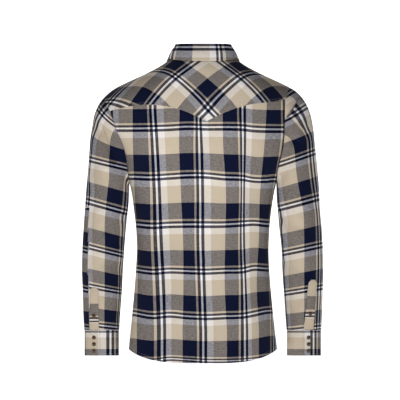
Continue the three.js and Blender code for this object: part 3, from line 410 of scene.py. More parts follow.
def body_rows(x, z, face):
    if face > 0:
        row = np.interp(-z, [-height for height in ROW_DROOP], range(len(ROW_DROOP)))
        for i, droop in enumerate(ROW_DROOP.values()):
            z = z + curve(DROOP_X, droop)(x) * np.maximum(0, 1 - np.abs(row - i))
    return beyond(BODY_ROWS.ravel(), marks(WEFT_MARKS, BODY_ROWS.size), z)


def back_cloth(grid):
    arc = arc_across(grid)
    heights = list(BODY_COLUMNS)
    columns = [curve(heights, column) for column in zip(*BODY_COLUMNS.values())]
    u = np.zeros(arc.shape)
    for row in range(len(grid)):
        x, s = grid[row, :, 0], arc[row]
        order = np.argsort(x)
        toward_right = 1 if s[order[0]] > s[order[-1]] else -1
        z = float(np.median(grid[row, :, 2]))
        wanted = np.array([column(z) for column in columns])
        places = toward_right * np.interp(wanted, x[order], s[order])
        places += np.maximum(0, x.min() - wanted) - np.maximum(0, wanted - x.max())
        repeat_places = [-TAN_WIDTH] + marks(WARP_MARKS, len(places) - 1)
        u[row] = beyond(places, repeat_places, toward_right * s)
    return np.stack([u, body_rows(grid[..., 0], grid[..., 2], 1)], -1)


# How much the way round the front gains on the straight distance, and between which places
FRONT_GAIN = 34
FRONT_GAIN_AT = (80, 185)
FRONT_START = 52


def front_cloth(grid):
    x = grid[..., 0]
    across = np.sign(x) * (np.abs(x) + FRONT_GAIN * smooth(np.abs(x), *FRONT_GAIN_AT) ** 2)
    return np.stack([across + FRONT_START, body_rows(x, grid[..., 2], -1)], -1)


# The yoke is cut on the bias. down says how far down its middle line the two sets of stripes
# have come at a height, and drop how much lower they hang out toward the shoulders.
YOKE_MIDDLE_X = -10.5
YOKE_DOWN = np.array([(-149, 102), (-120.3, 74.5), (-90.6, 49), (-44.3, 0), (-5.7, -51), (30, -92)])
YOKE_ACROSS = 0.97
# How much longer the way over the shoulder's turn is than its drop
TURN_GAIN = 34.2
YOKE_DROP = {1: (166, 21.7), -1: (166, 16)}


def yoke_cloth(grid):
    x, y, z = grid[..., 0], grid[..., 1], grid[..., 2]
    face = np.where(y >= 0, 1, -1)
    way = np.where(y >= 0, way_over(1, x, z), way_over(-1, x, z))
    level = shoulder(x) + TURN_GAIN - way
    out = x - YOKE_MIDDLE_X
    drop = np.zeros(x.shape)
    for sign, (reach, fall) in YOKE_DROP.items():
        far = np.maximum(0, sign * out) / reach
        drop += fall * np.where(far < 1, far ** 4, 4 * far - 3)
    down = beyond(YOKE_DOWN[:, 0], YOKE_DOWN[:, 1], level + drop)
    across = out * YOKE_ACROSS
    return np.stack([(down - across) / math.sqrt(2), (down + across) / math.sqrt(2)], -1)


# Sleeves: angle from the inner edge over the back to the outer one, and place in the repeat
SLEEVE_COLUMNS = {
    "left": np.array([
        (0, 72), (39.1, 36), (84.1, 0), (119.9, -34.6), (135.9, -50.2), (180, -91), (360, -257),
    ]),
    "right": np.array([(0, -71), (42.5, -34.6), (92.2, 0), (127.6, 36), (180, 84), (360, 250)]),
}
SLEEVE_ROWS = {
    "left": dict(x=227, rows=[
        (-229, 18.35), (-334.4, 129.35), (-448.2, 240.35), (-544.6, 351.35), (-635.9, 462.35),
    ]),
    "right": dict(x=256, rows=[
        (-113.3, -62), (-202.9, 18.35), (-315, 129.35), (-435.8, 240.35), (-541.6, 351.35),
        (-639.9, 462.35),
    ]),
}
# By height, how steeply the sleeve's rows fall inward
ROW_FALL = {
    "left": np.array([
        (-700, 0.1), (-640, 0.12), (-545, 0.2), (-448, 0.26), (-334, 0.28), (-229, 0.28),
        (-150, 0.8), (-100, 1.15),
    ]),
    "right": np.array([
        (-700, 0.1), (-640, 0.12), (-545, 0.18), (-436, 0.22), (-315, 0.3), (-203, 0.4),
        (-140, 0.62), (-90, 0.68),
    ]),
}
# By height, how many degrees the columns turn outward, at the back and near the outer edge
COLUMN_TURN = {
    "left": np.array([
        (-645, 3, 3), (-471, -1, -1), (-400, -7, -7), (-350, -7, -7), (-321, -6, -8),
        (-284, -5, -18), (-222, -13, -13), (-172, -27, -8), (-140, -30, 0), (-100, -30, 4),
    ]),
    "right": np.array([
        (-645, 1, 1), (-471, -3, -3), (-383, -9, -9), (-346, -5, -5), (-309, 0, 0),
        (-259, 2, 2), (-200, -1, -1), (-186, 1, 1), (-172, 7, 7), (-158, 11, 11), (-100, 10, 10),
    ]),
}
TURN_AT = (95, 140)
TURN_FADES_IN = (0, 60)
TURN_FADES_OUT = (270, 360)
# Where the left sleeve folds over at its outer edge below the elbow: heights, and how far along
# and down the repeat the cloth behind the fold lies
OUTER_FOLD = dict(last_angle=205, heights=(-362, -368), along=83, down=-13)
# The light cloth folded over at the top of the right armhole: two points of its lower edge, x
# and z, and how far along and down the repeat it lies
TOP_FOLD = dict(edge=((-212.4, -130.7), (-236, -97)), along=-64, down=56)


def sleeve_cloth(side, grid, angles):
    fall, turn, table = ROW_FALL[side], COLUMN_TURN[side], SLEEVE_COLUMNS[side]
    x, z = np.abs(grid[..., 0]), grid[..., 2]
    degrees = np.degrees(angles) + 0 * z
    outer = np.clip((degrees - TURN_AT[0]) / (TURN_AT[1] - TURN_AT[0]), 0, 1)
    near, far = [curve(turn[:, 0], turn[:, i])(z) for i in (1, 2)]
    inner = smooth(degrees, *TURN_FADES_IN) * (1 - smooth(degrees, *TURN_FADES_OUT))
    u = beyond(table[:, 0], table[:, 1], degrees + lerp(near, far, outer) * inner)
    level = z - curve(fall[:, 0], fall[:, 1])(z) * (x - SLEEVE_ROWS[side]["x"])
    rows = np.array(SLEEVE_ROWS[side]["rows"])
    v = beyond(rows[:, 0], rows[:, 1], level)
    if side == "left":
        below, above = (-height for height in reversed(OUTER_FOLD["heights"]))
        light_edge = -(LIGHT_WIDTH + TAN_WIDTH)
        past = smooth(-z, above, below) * (u < light_edge) * (degrees < OUTER_FOLD["last_angle"])
        fold = OUTER_FOLD
    else:
        (x1, z1), (x2, z2) = TOP_FOLD["edge"]
        over = z - lerp(z1, z2, (grid[..., 0] - x1) / (x2 - x1))
        past = (over > 0) * (degrees < 180)
        fold = TOP_FOLD
    u = u + past * fold["along"]
    v = v + past * fold["down"]
    return np.stack([u, v], -1)


# Materials

def shader(name):
    material = bpy.data.materials.new(name)
    material.use_nodes = True
    nodes = material.node_tree.nodes
    return material, nodes, material.node_tree.links, nodes["Principled BSDF"]


def math_node(nodes, links, operation, a, b=None):
    node = nodes.new("ShaderNodeMath")
    node.operation = operation
    for socket, value in zip(node.inputs, (a, b)):
        if value is None:
            continue
        if isinstance(value, (int, float)):
            socket.default_value = value
        else:
            links.new(value, socket)
    return node.outputs[0]


def stripes(nodes, links, place, sett):
    """The colour of one set of threads at a place counted in repeats, and how far it covers."""
    ramp = nodes.new("ShaderNodeValToRGB")
    ramp.color_ramp.interpolation = "CONSTANT"
    elements = ramp.color_ramp.elements
    while len(elements) > 1:
        elements.remove(elements[-1])
    start = 0.0
    for i, (size, colour) in enumerate(sett):
        element = elements[0] if i == 0 else elements.new(start / REPEAT)
        element.position = start / REPEAT
        blended = [(c / 255) ** (SCREEN_GAMMA / BLEND_GAMMA) for c in colour]
        element.color = (*blended, 1 if colour == INK else 0)
        start += size
    links.new(math_node(nodes, links, "FRACT", place), ramp.inputs["Fac"])
    return ramp.outputs["Color"], ramp.outputs["Alpha"]


# Millimetres: the twill's ribs, the yarn's uneven stretches and the nap's spots
RIB_PITCH = 1.6
YARN_LENGTH, YARN_WIDTH = 7, 2.6
NAP_SIZE = 2.2
# How far the yarn and the ribs bring the weft to the top, and how much thin navy yarns cover
YARN_SHARE, YARN_BASE = 0.4, 0.3
RIB_SHARE = 0.14
INK_COVER = 0.24
NAP_TONES = (0.93, 1.07)
BUMP_METRES = 0.00012


def plaid_material(name):
    material, nodes, links, surface = shader(name)
    uv = nodes.new("ShaderNodeUVMap")
    uv.uv_map = "cloth"
    split = nodes.new("ShaderNodeSeparateXYZ")
    links.new(uv.outputs["UV"], split.inputs[0])
    u, v = split.outputs["X"], split.outputs["Y"]
    warp, warp_cover = stripes(nodes, links, u, WARP)
    weft, weft_cover = stripes(nodes, links, v, WEFT)
    # The twill's slanting ribs, where warp and weft take turns on top
    slant = math_node(nodes, links, "ADD", u, v)
    ribs = math_node(nodes, links, "MULTIPLY", slant, 2 * math.pi * REPEAT / RIB_PITCH)
    rib = math_node(nodes, links, "SINE", ribs)
    # Uneven yarn across the cloth, which streaks it where the threads' colours differ
    stretch = nodes.new("ShaderNodeMapping")
    stretch.inputs["Scale"].default_value = (REPEAT / YARN_LENGTH, REPEAT / YARN_WIDTH, 1)
    links.new(uv.outputs["UV"], stretch.inputs["Vector"])
    yarn = nodes.new("ShaderNodeTexNoise")
    yarn.inputs["Scale"].default_value = 1
    yarn.inputs["Detail"].default_value = 1
    links.new(stretch.outputs["Vector"], yarn.inputs["Vector"])
    mottle = math_node(nodes, links, "MULTIPLY_ADD", yarn.outputs["Fac"], YARN_SHARE)
    mottle.node.inputs[2].default_value = YARN_BASE
    turn = math_node(nodes, links, "MULTIPLY_ADD", rib, RIB_SHARE)
    links.new(mottle, turn.node.inputs[2])
    # The thin navy yarns are the thickest, and cover those they cross
    cover = math_node(nodes, links, "SUBTRACT", weft_cover, warp_cover)
    covered = math_node(nodes, links, "MULTIPLY_ADD", cover, INK_COVER)
    links.new(turn, covered.node.inputs[2])
    mix = nodes.new("ShaderNodeMix")
    mix.data_type = "RGBA"
    links.new(covered, mix.inputs["Factor"])
    links.new(warp, mix.inputs["A"])
    links.new(weft, mix.inputs["B"])
    # A brushed nap, a little lighter and darker from place to place
    nap = nodes.new("ShaderNodeTexNoise")
    nap.inputs["Scale"].default_value = REPEAT / NAP_SIZE
    nap.inputs["Detail"].default_value = 3
    links.new(uv.outputs["UV"], nap.inputs["Vector"])
    tone = nodes.new("ShaderNodeMapRange")
    tone.inputs["To Min"].default_value = NAP_TONES[0]
    tone.inputs["To Max"].default_value = NAP_TONES[1]
    links.new(nap.outputs["Fac"], tone.inputs["Value"])
    toned = nodes.new("ShaderNodeMix")
    toned.data_type = "RGBA"
    toned.blend_type = "MULTIPLY"
    toned.inputs["Factor"].default_value = 1
    links.new(mix.outputs["Result"], toned.inputs["A"])
    links.new(tone.outputs["Result"], toned.inputs["B"])
    gamma = nodes.new("ShaderNodeGamma")
    gamma.inputs["Gamma"].default_value = BLEND_GAMMA
    links.new(toned.outputs["Result"], gamma.inputs["Color"])
    links.new(gamma.outputs["Color"], surface.inputs["Base Color"])
    surface.inputs["Roughness"].default_value = 0.92
    surface.inputs["Specular IOR Level"].default_value = 0.08
    surface.inputs["Sheen Weight"].default_value = 0.02
    surface.inputs["Sheen Roughness"].default_value = 0.6
    height = math_node(nodes, links, "MULTIPLY_ADD", nap.outputs["Fac"], 1.4)
    links.new(rib, height.node.inputs[2])
    bump = nodes.new("ShaderNodeBump")
    bump.inputs["Strength"].default_value = 0.35
    bump.inputs["Distance"].default_value = BUMP_METRES
    links.new(height, bump.inputs["Height"])
    links.new(bump.outputs["Normal"], surface.inputs["Normal"])
    return material


def plain_material(name, colour, roughness, metallic=0.0, coat=0.0):
    material, _, _, surface = shader(name)
    surface.inputs["Base Color"].default_value = (*[(c / 255) ** SCREEN_GAMMA for c in colour], 1)
    surface.inputs["Roughness"].default_value = roughness
    surface.inputs["Metallic"].default_value = metallic
    surface.inputs["Coat Weight"].default_value = coat
    return material


PLAID = plaid_material("plaid_cloth")
YOKE_PLAID = plaid_material("yoke_cloth")
THREAD = plain_material("thread", (150, 138, 120), 0.7)
CAP = plain_material("snap_cap", (34, 23, 15), 0.22, coat=0.4)
BRASS = plain_material("snap_rim", (112, 84, 52), 0.32, metallic=1.0)


# Meshes

def normals_of(grid, closed=False):
    if closed:
        across = np.roll(grid, -1, axis=1) - np.roll(grid, 1, axis=1)
    else:
        across = np.gradient(grid, axis=1)
    down = np.gradient(grid, axis=0)
    normal = np.cross(across, down)
    return normal / np.maximum(1e-9, np.linalg.norm(normal, axis=2, keepdims=True))


def make_mesh(name, points, faces, material, uvs=None, bake=None):
    mesh = bpy.data.meshes.new(name)
    mesh.from_pydata((points / 1000).tolist(), [], faces.tolist())
    mesh.update()
    corners = np.array(faces).reshape(-1)
    if uvs is not None:
        layer = mesh.uv_layers.new(name="cloth")
        layer.data.foreach_set("uv", uvs[corners].astype(np.float32).reshape(-1))
    if bake is not None:
        layer = mesh.uv_layers.new(name="OFBake")
        layer.data.foreach_set("uv", bake[corners].astype(np.float32).reshape(-1))
    mesh.polygons.foreach_set("use_smooth", [True] * len(mesh.polygons))
    mesh.materials.append(material)
    thing = bpy.data.objects.new(name, mesh)
    bpy.context.scene.collection.objects.link(thing)
    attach(thing, "root")
    return thing


def cloth(name, grid, place, material, thick=0.9, closed=False, outward=1, lift=0.0):
    """A closed thin shell: a grid of points, its place in the plaid in millimetres, and a wall
    inward from it. thick is a number or one for each point."""
    rows, columns = grid.shape[:2]
    if closed:
        grid = np.concatenate([grid, grid[:, :1]], axis=1)
        normal = normals_of(grid[:, :-1], closed=True)
        normal = np.concatenate([normal, normal[:, :1]], axis=1) * outward
        columns += 1
    else:
        normal = normals_of(grid) * outward
    thick = np.broadcast_to(np.asarray(thick, float), (rows, columns))
    outer = grid + normal * lift
    inner = outer - normal * thick[..., None]
    points = np.concatenate([outer.reshape(-1, 3), inner.reshape(-1, 3)])
    index = np.arange(rows * columns).reshape(rows, columns)
    a, b = index[:-1, :-1].ravel(), index[:-1, 1:].ravel()
    c, d = index[1:, 1:].ravel(), index[1:, :-1].ravel()
    under = rows * columns
    faces = [np.stack([a, b, c, d], 1), np.stack([a, d, c, b], 1) + under]
    edges = [(index[0], 1), (index[-1], -1), (index[:, 0], -1), (index[:, -1], 1)]
    for line, way in edges:
        p, q = line[:-1], line[1:]
        rim = np.stack([q, p, p + under, q + under], 1)
        faces.append(rim if way > 0 else rim[:, ::-1])
    faces = np.concatenate(faces)
    if outward < 0:
        faces = faces[:, ::-1]
    uvs = np.concatenate([place.reshape(-1, 2)] * 2) / REPEAT
    down, across = np.meshgrid(np.linspace(0, 1, rows), np.linspace(0, 1, columns), indexing="ij")
    flat = np.stack([0.01 + 0.48 * across, 0.01 + 0.98 * down], -1).reshape(-1, 2)
    bake = np.concatenate([flat, flat + np.array([0.5, 0])])
    return make_mesh(name, points, faces, material, uvs, bake), outer, normal


def declare(thing, grid, nodes):
    """Hides the part's nodes that the piece stands for; the flat size and area of its cut are worked
    out but not used.
    """
    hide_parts(*nodes)
    across = np.linalg.norm(np.diff(grid, axis=1), axis=2).sum(axis=1).max()
    down = np.linalg.norm(np.diff(grid, axis=0), axis=2).sum(axis=0).max()
    side_a = grid[1:, :-1] - grid[:-1, :-1]
    side_b = grid[:-1, 1:] - grid[:-1, :-1]
    side_c = grid[1:, 1:] - grid[1:, :-1]
    side_d = grid[1:, 1:] - grid[:-1, 1:]
    area = np.linalg.norm(np.cross(side_a, side_b), axis=2).sum() / 2
    area += np.linalg.norm(np.cross(side_c, side_d), axis=2).sum() / 2


def hem_thickness(grid, thin=0.9, thick=2.0, height=9.0):
    """A turned hem: the last stretch of each column is doubled."""
    step = np.linalg.norm(np.diff(grid, axis=0), axis=2)
    from_end = np.cumsum(step[::-1], axis=0)[::-1]
    from_end = np.concatenate([from_end, np.zeros((1, grid.shape[1]))], axis=0)
    return lerp(thick, thin, smooth(from_end, height - 0.8, height + 0.8))


# Back

BACK_COLUMNS = 72
BACK_ROWS = 190
tip_angle = math.atan2(YOKE_TIP_X, float(depth_of[1](-149)))
tip_share = tip_angle / float(edge_angle(1, -1, np.float64(-149)))
right_shares = lerp(tip_share, -1, np.linspace(1, 0, BACK_COLUMNS + 1))
left_shares = lerp(tip_share, 1, np.linspace(0, 1, BACK_COLUMNS + 1))[1:]
back_shares = np.concatenate([right_shares, left_shares])


def body_angle(face, share, z):
    edge = np.where(share >= 0, column_edge(face, 1, share, z), column_edge(face, -1, share, z))
    return share * edge


def panel_heights(top, hem, rows):
    """Rows from a seam to the armpit's level and on to the hem."""
    above = int(rows * 0.3)
    upper = lerp(top[None], ARMPIT_Z, np.linspace(0, 1, above + 1)[:, None])
    lower = lerp(ARMPIT_Z, hem[None], np.linspace(0, 1, rows - above + 1)[1:, None])
    return np.concatenate([upper, lower])


back_top = settled(
    lambda z: yoke_back_height(round_torso(1, body_angle(1, back_shares, z), z)[..., 0]), back_shares
)
back_hem = hem_height(1, back_shares * math.pi / 2)
back_z = panel_heights(back_top + 1.5, back_hem, BACK_ROWS)
back_grid = round_torso(1, body_angle(1, back_shares[None], back_z), back_z)
back, back_outer, back_normal = cloth(
    "cloth_back", back_grid, back_cloth(back_grid), PLAID, hem_thickness(back_grid), lift=-0.3
)
declare(back, back_grid, ["back"])


# Fronts

FRONT_COLUMNS = 64
front_pieces = {}
for sign, side in ((1, "left"), (-1, "right")):
    shares = np.linspace(0, 1, FRONT_COLUMNS + 1)
    inner = FRONTS_MEET_X + sign * 0.15

    def front_angle(share, z, sign=sign, inner=inner):
        start = np.arctan2(inner, depth_of[-1](z))
        return lerp(start, sign * column_edge(-1, sign, share, z), share)

    top = settled(
        lambda z: yoke_front_height(np.abs(round_torso(-1, front_angle(shares, z), z)[..., 0])), shares
    )
    hem = hem_height(-1, front_angle(shares, np.full(shares.shape, float(SIDE_HEM_Z))))
    heights = panel_heights(top + 1.5, hem, BACK_ROWS)
    grid = round_torso(-1, front_angle(shares[None], heights), heights)
    thing, outer, normal = cloth(
        f"cloth_front_{side}", grid, front_cloth(grid), PLAID, hem_thickness(grid),
        outward=-sign, lift=-0.3,
    )
    declare(thing, grid, [f"front_{side}"])
    front_pieces[side] = (grid, outer, normal)


# Yoke

def yoke_half(sign):
    """Chart places of the neck edge and the outer edge, from the front opening round to the back."""
    front_count, arm_count, back_count = 44, 34, 64
    shares = np.linspace(0, 1, front_count)
    grid = front_pieces["left" if sign > 0 else "right"][0]
    front_x = np.interp(shares, np.linspace(0, 1, grid.shape[1]), grid[0, :, 0])
    front_z = yoke_front_height(np.abs(front_x)) - 1.2
    opening = 1 - sign * math.asin(front_x[0] / NECK_HALF) / math.pi
    neck_share = [lerp(opening, 0.66, shares)]
    outer = [(front_x, way_over(-1, front_x, front_z))]
    corner = float(front_z[-1])
    top = float(armhole_height(sign, math.pi))
    rise = np.linspace(0, 1, arm_count)[1:]
    z = lerp(corner, top, np.sin(rise * math.pi / 2))
    x = sign * armhole_x(sign, z)
    neck_share.append(lerp(0.66, 0.5, rise))
    outer.append((x, way_over(-1, x, z)))
    half_back = back_grid[0, BACK_COLUMNS:] if sign > 0 else back_grid[0, : BACK_COLUMNS + 1][::-1]
    back_places = np.linspace(0, 1, len(half_back))
    back_x = np.interp(np.linspace(0, 1, back_count), back_places, half_back[:, 0])
    back_z = yoke_back_height(back_x) - 1.2
    corner = float(back_z[-1])
    fall = np.linspace(0, 1, arm_count)[1:]
    z = lerp(top, corner, 1 - np.cos(fall * math.pi / 2))
    x = sign * armhole_x(sign, z)
    neck_share.append(lerp(0.5, 0.34, fall))
    outer.append((x, way_over(1, x, z)))
    neck_share.append(lerp(0.34, 0, np.linspace(0, 1, back_count)[1:]))
    outer.append((back_x[::-1][1:], way_over(1, back_x[::-1], back_z[::-1])[1:]))
    shares = np.concatenate(neck_share)
    neck = neck_point(sign, shares * math.pi)
    face = np.where(shares <= 0.5, 1, -1)
    neck_x, neck_z = neck[:, 0], neck[:, 2]
    neck_way = np.where(face > 0, way_over(1, neck_x, neck_z), way_over(-1, neck_x, neck_z))
    outer_x = np.concatenate([o[0] for o in outer])
    outer_way = np.concatenate([o[1] for o in outer])
    return np.stack([neck_x, neck_way], 1), np.stack([outer_x, outer_way], 1)


left_half, right_half = yoke_half(1), yoke_half(-1)
neck_edge = np.concatenate([left_half[0], right_half[0][::-1][1:]])
outer_edge = np.concatenate([left_half[1], right_half[1][::-1][1:]])
YOKE_ROWS = 60
share = np.linspace(0, 1, YOKE_ROWS + 1)[:, None, None]
yoke_chart = lerp(neck_edge[None], outer_edge[None], share)
yoke_grid = from_chart(yoke_chart[..., 0], yoke_chart[..., 1])
yoke, yoke_outer, yoke_normal = cloth(
    "cloth_yoke", yoke_grid, yoke_cloth(yoke_grid), YOKE_PLAID, 1.1, outward=-1, lift=0.5
)
declare(yoke, yoke_grid, ["yoke"])


# Front placket

def placket_grid(lift):
    across = np.linspace(-PLACKET_HALF, PLACKET_HALF, 19)
    top = neck_point(1, math.pi - np.arcsin(across / NECK_HALF))[:, 2] - 0.7
    hem = hem_height(-1, np.arctan2(across, 117.0))
    heights = lerp(top[None], hem[None], np.linspace(0, 1, 181)[:, None])
    grid = on_torso(-1, across[None], heights)
    normal = -normals_of(grid)
    return grid + normal * lift


placket = placket_grid(PLACKET_LIFT)
placket_piece, placket_outer, placket_normal = cloth(
    "cloth_front_placket", placket, front_cloth(placket), PLAID, 1.1, outward=-1
)
declare(placket_piece, placket, ["front_placket"])


# Sleeves

def sleeve_surface(side):
    info = SIDES[side]
    sign, table = info["sign"], info["sleeve"]
    rows = np.arange(len(table))
    out_x, out_z, in_x, in_z, mid_y, depth = [curve(rows, table[:, i]) for i in range(6)]

    def ring(row, angle):
        share = (1 - np.cos(angle)) / 2
        x = lerp(in_x(row), out_x(row), share)
        z = lerp(in_z(row), out_z(row), share)
        y = mid_y(row) + depth(row) * np.sin(angle)
        return np.stack(np.broadcast_arrays(sign * x, y, z), -1)

    def surface(row, angle):
        row, angle = np.broadcast_arrays(np.asarray(row, float), np.asarray(angle, float))
        point = ring(row, angle)
        z = armhole_height(sign, angle)
        x = sign * armhole_x(sign, z)
        behind = np.sin(angle) >= 0
        seam = np.where(behind[..., None], on_torso(1, x, z), on_torso(-1, x, z))
        blend = smooth(row, 0, RINGS_ON_CAP)[..., None]
        joined = seam + point - ring(0 * row, angle)
        point = lerp(joined, point, blend)
        middle = np.stack([sign * (in_x(row) + out_x(row)) / 2, mid_y(row), point[..., 2]], -1)
        outward = point - middle
        outward /= np.maximum(1e-9, np.linalg.norm(outward, axis=-1, keepdims=True))
        soft = np.abs(np.sin(angle)) ** 0.7 * smooth(row, 0, 3)
        x, z = point[..., 0], point[..., 2]
        fold = np.where(
            behind, folds(f"sleeve_{side}_back", x, z), folds(f"sleeve_{side}_front", x, z)
        )
        return point + outward * (fold * soft)[..., None]

    return surface


SLEEVE_ROW_COUNT = 200
SLEEVE_COLUMN_COUNT = 112
sleeves = {}
for side, info in SIDES.items():
    surface = sleeve_surface(side)
    last = len(info["sleeve"]) - 1
    t = np.linspace(0, 1, SLEEVE_ROW_COUNT + 1)
    rows = last * lerp(t, t * t, 0.25)
    angles = np.linspace(0, 2 * math.pi, SLEEVE_COLUMN_COUNT + 1)
    grid = surface(rows[:, None], angles[None])
    place = sleeve_cloth(side, grid, angles)
    thing = cloth(
        f"cloth_sleeve_{side}", grid[:, :-1], place, PLAID, 0.9, closed=True, outward=info["sign"]
    )[0]
    declare(thing, grid, [f"sleeve_{side}"])
    sleeves[side] = surface


# Cuffs: turn from the over edge, and place in the repeat
CUFF_COLUMNS = {
    "left": np.array([(0, -148), (404, 102.3)]),
    "right": np.array([(0, 77), (50, 36), (270, -109), (404, -155)]),
}


def cuff_surface(side):
    info = SIDES[side]
    out_x, _, in_x, _, mid_y, depth = info["sleeve"][-1]

    def surface(turn, z):
        turn, z = np.broadcast_arrays(np.asarray(turn, float), np.asarray(z, float))
        angle = (info["edge_deg"] + turn) * DEG
        lift = LAP_LIFT * (1 - smooth(turn, CUFF_OVERLAP_DEG, CUFF_OVERLAP_DEG + CUFF_EASE_DEG))
        share = (CUFF_TOP_Z - z) / (CUFF_TOP_Z - CUFF_BOTTOM_Z)
        x = (out_x + in_x) / 2 - ((out_x - in_x) / 2 - 1 + lift) * np.cos(angle)
        y = mid_y - 5 * share + (depth - 1 - 2 * share + lift) * np.sin(angle)
        return np.stack([info["sign"] * x, y, z], -1)

    return surface


# The cuffs' rows by height, and their places in the repeat
CUFF_ROWS = np.array([
    (-670, 47.1), (-672.5, 50.9), (-676, 57.5), (-688, 71.7), (-717, 111), (-733.5, 130),
])
cuffs = {}
for side, info in SIDES.items():
    surface = cuff_surface(side)
    turns = np.linspace(0, 360 + CUFF_OVERLAP_DEG, 150)
    heights = np.linspace(CUFF_TOP_Z - 0.3, CUFF_BOTTOM_Z, 24)
    grid = surface(turns[None], heights[:, None])
    table = CUFF_COLUMNS[side]
    u = np.interp(turns, table[:, 0], table[:, 1])[None] + 0 * heights[:, None]
    v = beyond(CUFF_ROWS[:, 0], CUFF_ROWS[:, 1], heights)[:, None] + 0 * turns[None]
    thing, outer, normal = cloth(
        f"cloth_cuff_{side}", grid, np.stack([u, v], -1), PLAID, 1.9, outward=info["sign"]
    )
    declare(thing, grid, [f"cuff_{side}"])
    cuffs[side] = (surface, outer, normal)


# Sleeve plackets: height and place in the repeat
PLACKET_ROWS = {
    "left": np.array([
        (-562, -28), (-604, 0), (-634, 36.7), (-637.4, 41.3), (-650, 57.5), (-653, 72), (-672, 96),
    ]),
    "right": np.array([
        (-540, -42), (-585, 0), (-618.5, 36.7), (-624, 41.3), (-637.4, 57.5), (-641, 72), (-664, 96),
    ]),
}
SLEEVE_PLACKET_START = 93
sleeve_plackets = {}
for side, info in SIDES.items():
    surface = sleeves[side]
    last = len(info["sleeve"]) - 1.03
    t = np.linspace(0, 1, 90)[:, None]
    s = np.linspace(-1, 1, 21)[None]
    cut = 0.22 * np.maximum(0, np.abs(s) - 0.4) * (1 - t) ** 6
    row = lerp(info["top"], last, t) + cut
    radius = np.interp(row, np.arange(len(info["sleeve"])), info["sleeve"][:, 5])
    middle = (info["snap_deg"] + info["lean"] * (1 - t)) * DEG
    grid = surface(row, middle + s * SLEEVE_PLACKET_HALF / radius)
    grid = grid + normals_of(grid) * info["sign"] * PLACKET_LIFT
    table = PLACKET_ROWS[side]
    v = beyond(table[:, 0], table[:, 1], grid[..., 2])
    u = SLEEVE_PLACKET_START + SLEEVE_PLACKET_HALF * s + 0 * t
    thing, outer, normal = cloth(
        f"cloth_sleeve_placket_{side}", grid, np.stack([u, v], -1), PLAID, 1.2, outward=info["sign"]
    )
    declare(thing, grid, [f"sleeve_placket_{side}"])
    sleeve_plackets[side] = (outer, normal)


# Collar

collar_curves = [curve(np.arange(len(COLLAR)), COLLAR[:, i]) for i in range(7)]
FALL_END_ROW = 6


def lap_lift(row):
    return smooth(row, 4.9, 5.5) * LAP_LIFT


def stand_point(sign, row, rise):
    row, rise = np.broadcast_arrays(np.asarray(row, float), np.asarray(rise, float))
    sign = np.broadcast_to(sign, row.shape)
    base = np.where(
        (sign > 0)[..., None],
        neck_point(1, collar_curves[0](row) * DEG),
        neck_point(-1, collar_curves[0](row) * DEG),
    )
    outward = base * np.array([1, 1, 0])
    outward /= np.linalg.norm(outward, axis=-1, keepdims=True)
    base = base + outward * 0.2 + np.array([0, 0, 1])
    top = np.stack([sign * collar_curves[1](row), collar_curves[2](row), collar_curves[3](row)], -1)
    lap = np.where(sign > 0, lap_lift(row), 0)
    return lerp(base, top, rise[..., None]) + outward * lap[..., None]


def collar_stations(end, count):
    half = np.linspace(0, end, count)
    rows = np.concatenate([half[::-1], half[1:]])
    signs = np.concatenate([np.ones(count), -np.ones(count - 1)])
    return signs, rows


# The collar's columns by the distance round to the right from the centre back
COLLAR_COLUMNS = np.array([
    (-120, 80), (-66, 36), (-25.4, 0), (0, -21.3), (15.9, -34.6), (30.9, -50.2), (46.5, -69.4),
    (54, -75), (92, -111), (200, -215),
])


def collar_cloth(grid, start):
    """Place in the repeat: by the distance round from the centre back, and down from a start."""
    arc = arc_across(grid)
    middle = grid.shape[1] // 2
    round_it = arc - arc[:, middle : middle + 1]
    line = round_it[min(6, len(grid) - 1)][None] + 0 * round_it
    u = beyond(COLLAR_COLUMNS[:, 0], COLLAR_COLUMNS[:, 1], line)
    step = np.linalg.norm(np.diff(grid, axis=0), axis=2)
    down = np.concatenate([np.zeros((1, grid.shape[1])), np.cumsum(step, axis=0)])
    return np.stack([u, start + 0.8 * down], -1)


signs, rows = collar_stations(7, 90)
rise = np.linspace(0, 1, 15)[:, None]
stand_grid = stand_point(signs[None], rows[None], rise)
stand = cloth("cloth_collar_stand", stand_grid, collar_cloth(stand_grid, 62), PLAID, 1.9)[0]
declare(stand, stand_grid, ["collar_stand"])

# How the fall rolls over the stand's top: out, up
ROLL = np.array([
    (-2, 1.65), (-1.2, 2.15), (0, 2.45), (1.4, 2.1), (2.3, 1.1), (2.8, -0.6), (3, -2.2),
])


def fall_grid(signs, rows, steps_down):
    top = stand_point(signs, rows, 1.0)
    edge_x, edge_y, edge_z = [place(rows) for place in collar_curves[4:]]
    edge = np.stack([signs * edge_x, edge_y, edge_z], -1)
    rise = top - stand_point(signs, rows, 0.0)
    round_it = stand_point(signs, rows + 0.1, 1.0) - stand_point(signs, rows - 0.1, 1.0)
    out = np.cross(round_it, rise)
    out /= np.linalg.norm(out, axis=-1, keepdims=True)
    out *= -signs[:, None]
    up = np.cross(out, round_it)
    up /= np.linalg.norm(up, axis=-1, keepdims=True)
    up *= -signs[:, None]
    lines = []
    for i, (far, high) in enumerate(ROLL):
        over = np.where(signs < 0, lap_lift(rows), 0) * (1 if i else 0)
        lines.append(top + out * (far + over)[:, None] + up * high)
    start = lines[-1]
    for share in np.linspace(0, 1, steps_down + 1)[1:]:
        lines.append(lerp(start, edge, share) + out * 2.2 * math.sin(math.pi * share))
    return np.array(lines)


signs, rows = collar_stations(FALL_END_ROW, 90)
fall = fall_grid(signs, rows, 26)
fall_piece, fall_outer, fall_normal = cloth(
    "cloth_collar_fall", fall, collar_cloth(fall, 38), PLAID, 1.2, outward=-1
)
declare(fall_piece, fall, ["collar_fall"])


# Stitching: short raised stitches along lines on the cloth

